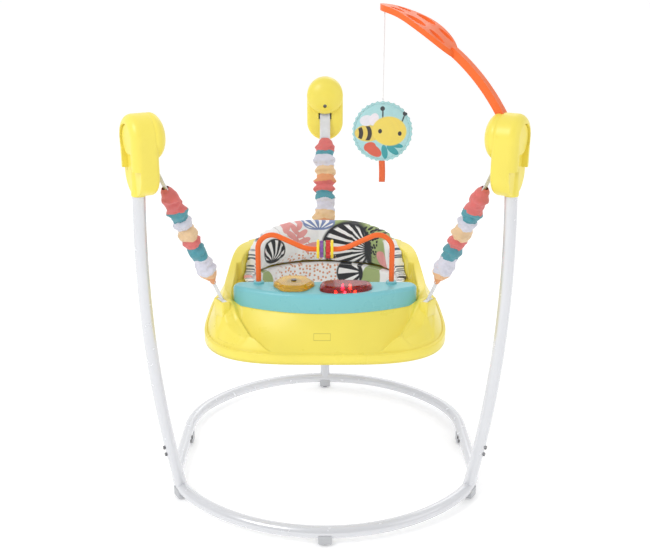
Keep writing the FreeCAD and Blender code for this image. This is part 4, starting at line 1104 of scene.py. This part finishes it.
def sling_print():
    """The seat's cloth carries on the backrest's ground, dots and greenery."""
    s = Print("sling_print", INK_WHITE)
    s.dots(s.inside(s.local(-0.35, 3.95, 1.0, 0.42, 0), 0.15), 10.5, 0.27, INK_RUST)
    s.blobs(INK_GREEN, (1.22, 3.95, 0.30, 0.42, -6))
    s.fan_leaf(0.62, 4.05, 0.34, 0.34, 10, INK_BLACK, INK_WHITE, 11)
    s.blobs(INK_GREEN, (-1.62, 4.05, 0.20, 0.24, 40))
    s.bump(s.noise(24.0, 3.0), 0.3, 0.004)
    return s.done()


FEELERS = (0.05, 0.06, 0.07)


def toy_print():
    """A plain bee in profile among leaves, on pale teal."""
    s = Print("toy_print", (0.42, 0.72, 0.74))
    s.striped_leaf(-0.48, -0.05, 0.42, 0.27, 0, (0.80, 0.62, 0.14), (0.05, 0.045, 0.04), 3)
    s.blobs((0.80, 0.80, 0.86), (-0.52, 0.36, 0.22, 0.17, 10))
    s.blobs((0.86, 0.82, 0.88), (-0.28, 0.40, 0.15, 0.20, -20))
    s.blobs((0.72, 0.13, 0.08), (-0.30, -0.60, 0.32, 0.17, -35), (-0.40, -0.50, 0.20, 0.16, 20))
    s.blobs((0.05, 0.36, 0.40), (0.08, -0.66, 0.10, 0.24, 10), (0.34, -0.60, 0.24, 0.10, -38),
            (0.44, -0.44, 0.25, 0.08, -12))
    s.blobs(FEELERS, (0.00, 0.58, 0.17, 0.024, 90), (0.66, 0.42, 0.17, 0.024, 70),
            (-0.01, 0.74, 0.075, 0.075, 0), (0.72, 0.58, 0.075, 0.075, 0))
    s.blobs((0.88, 0.70, 0.13), (0.22, 0.02, 0.56, 0.47, -8))
    s.blobs((0.04, 0.04, 0.045), (-0.08, 0.02, 0.062, 0.075, 0), (0.56, -0.06, 0.062, 0.075, 0))
    s.bump(s.noise(60.0, 3.0), 0.4, 0.002)
    return s.done(0.0006)


def banded(name, bands):
    """Cloth in sewn bands along the sleeve, each with its own creases."""
    s = Print(name, (0.8, 0.8, 0.8))
    _, v, _ = s.axes(s.place.outputs["UV"])
    wander = s.math("ADD", v, s.ramp(s.noise(45.0), -0.010, 0.010, 0.3, 0.7))
    ramp = s.node("ShaderNodeValToRGB")
    ramp.color_ramp.interpolation = "CONSTANT"
    s.link(wander, ramp.inputs["Fac"])
    points = ramp.color_ramp.elements
    start = 0.0
    for i, (end, colour) in enumerate(bands):
        point = points[i] if i < 2 else points.new(start)
        point.position = start
        point.color = (*colour, 1)
        start = end
    s.ink = s.mix(s.ramp(s.noise(70.0), 0.0, 0.16, 0.35, 0.75), ramp.outputs["Color"], (0.25, 0.2, 0.22))
    s.bump(s.noise(120.0, 4.0), 0.5, 0.002)
    return s.done(0.0006)


CORAL = (0.76, 0.16, 0.15)
CLOTH_TEAL = (0.07, 0.33, 0.40)
CLOTH_WHITE = (0.72, 0.72, 0.82)
CREAM = (0.86, 0.60, 0.34)
PEACH = (0.88, 0.52, 0.28)
CLOTH_ORANGE = (0.82, 0.34, 0.14)
BANDS_SIDE = banded("sleeve_bands", (
    (0.224, CORAL), (0.316, CLOTH_TEAL), (0.395, CLOTH_WHITE), (0.513, CREAM), (0.586, CORAL),
    (0.711, CLOTH_TEAL), (0.868, CLOTH_WHITE), (0.925, PEACH), (1.0, CLOTH_ORANGE)))
BANDS_BACK = banded("sleeve_bands_back", (
    (0.14, CORAL), (0.19, CLOTH_TEAL), (0.30, CLOTH_WHITE), (0.40, CREAM), (0.47, CLOTH_ORANGE),
    (0.57, CORAL), (0.66, CLOTH_TEAL), (0.78, CLOTH_WHITE), (0.88, CREAM), (1.0, CLOTH_ORANGE)))


def tray_plastic():
    """The shell's plastic, with painted shade along the outline of a small panel moulded into the front
    slope.
    """
    s = plastic("tray_plastic", YELLOW, 0.31)
    x, y, z = s.axes(s.coords.outputs["Object"])
    gaps = []
    for axis, centre, half in ((x, -0.006, 0.0170), (z, 0.3860, 0.0055)):
        away = s.math("ABSOLUTE", s.math("SUBTRACT", axis, centre))
        gaps.append(s.math("SUBTRACT", away, half))
    edge = s.math("ABSOLUTE", s.math("MAXIMUM", *gaps))
    in_front = s.math("LESS_THAN", y, -0.15)
    # Painted shade: a darker line along the panel's outline; the mesh has no groove there.
    groove = s.math("MULTIPLY", s.ramp(edge, 1, 0, 0.0002, 0.0007), in_front)
    s.colour(s.mix(groove, s.shader.inputs["Base Color"].links[0].from_socket, shade(YELLOW, 0.62)))
    return s


LAMPS = ((37, -119, (1.0, 0.25, 0.9)), (53, -119, (0.5, 1.0, 0.3)), (22, -154, (1.0, 0.35, 0.05)),
         (41, -158, (0.55, 0.75, 1.0)), (62, -154, (1.0, 0.75, 0.1)))


def glow_lamps():
    """Five lamps, each lit in its own colour."""
    s = Surface("lamp_glow", (1, 1, 1), 0.2)
    across, along, _ = s.axes(s.coords.outputs["Object"])
    flat = s.node("ShaderNodeCombineXYZ")
    s.link(across, flat.inputs["X"])
    s.link(along, flat.inputs["Y"])
    glow = (0.0, 0.0, 0.0)
    for x, y, colour in LAMPS:
        spot = at(x, y, 0)
        away = s.node("ShaderNodeVectorMath", operation="DISTANCE")
        s.link(flat.outputs[0], away.inputs[0])
        away.inputs[1].default_value = (spot.x, spot.y, 0)
        glow = s.mix(s.ramp(away.outputs["Value"], 1, 0, 0.004, 0.005), glow, colour)
    s.link(glow, s.shader.inputs["Emission Color"])
    s.shader.inputs["Emission Strength"].default_value = 22.0
    return s


add_camera()
add_studio()
paint_nodes()
nodes["lamps"].data.materials[0] = glow_lamps().mat
add_tray()
add_pad()
add_sling()
add_covers()
add_straps()
add_springs()
add_return_spring()
add_leg_sleeves()
add_toy_cord()
add_toy()
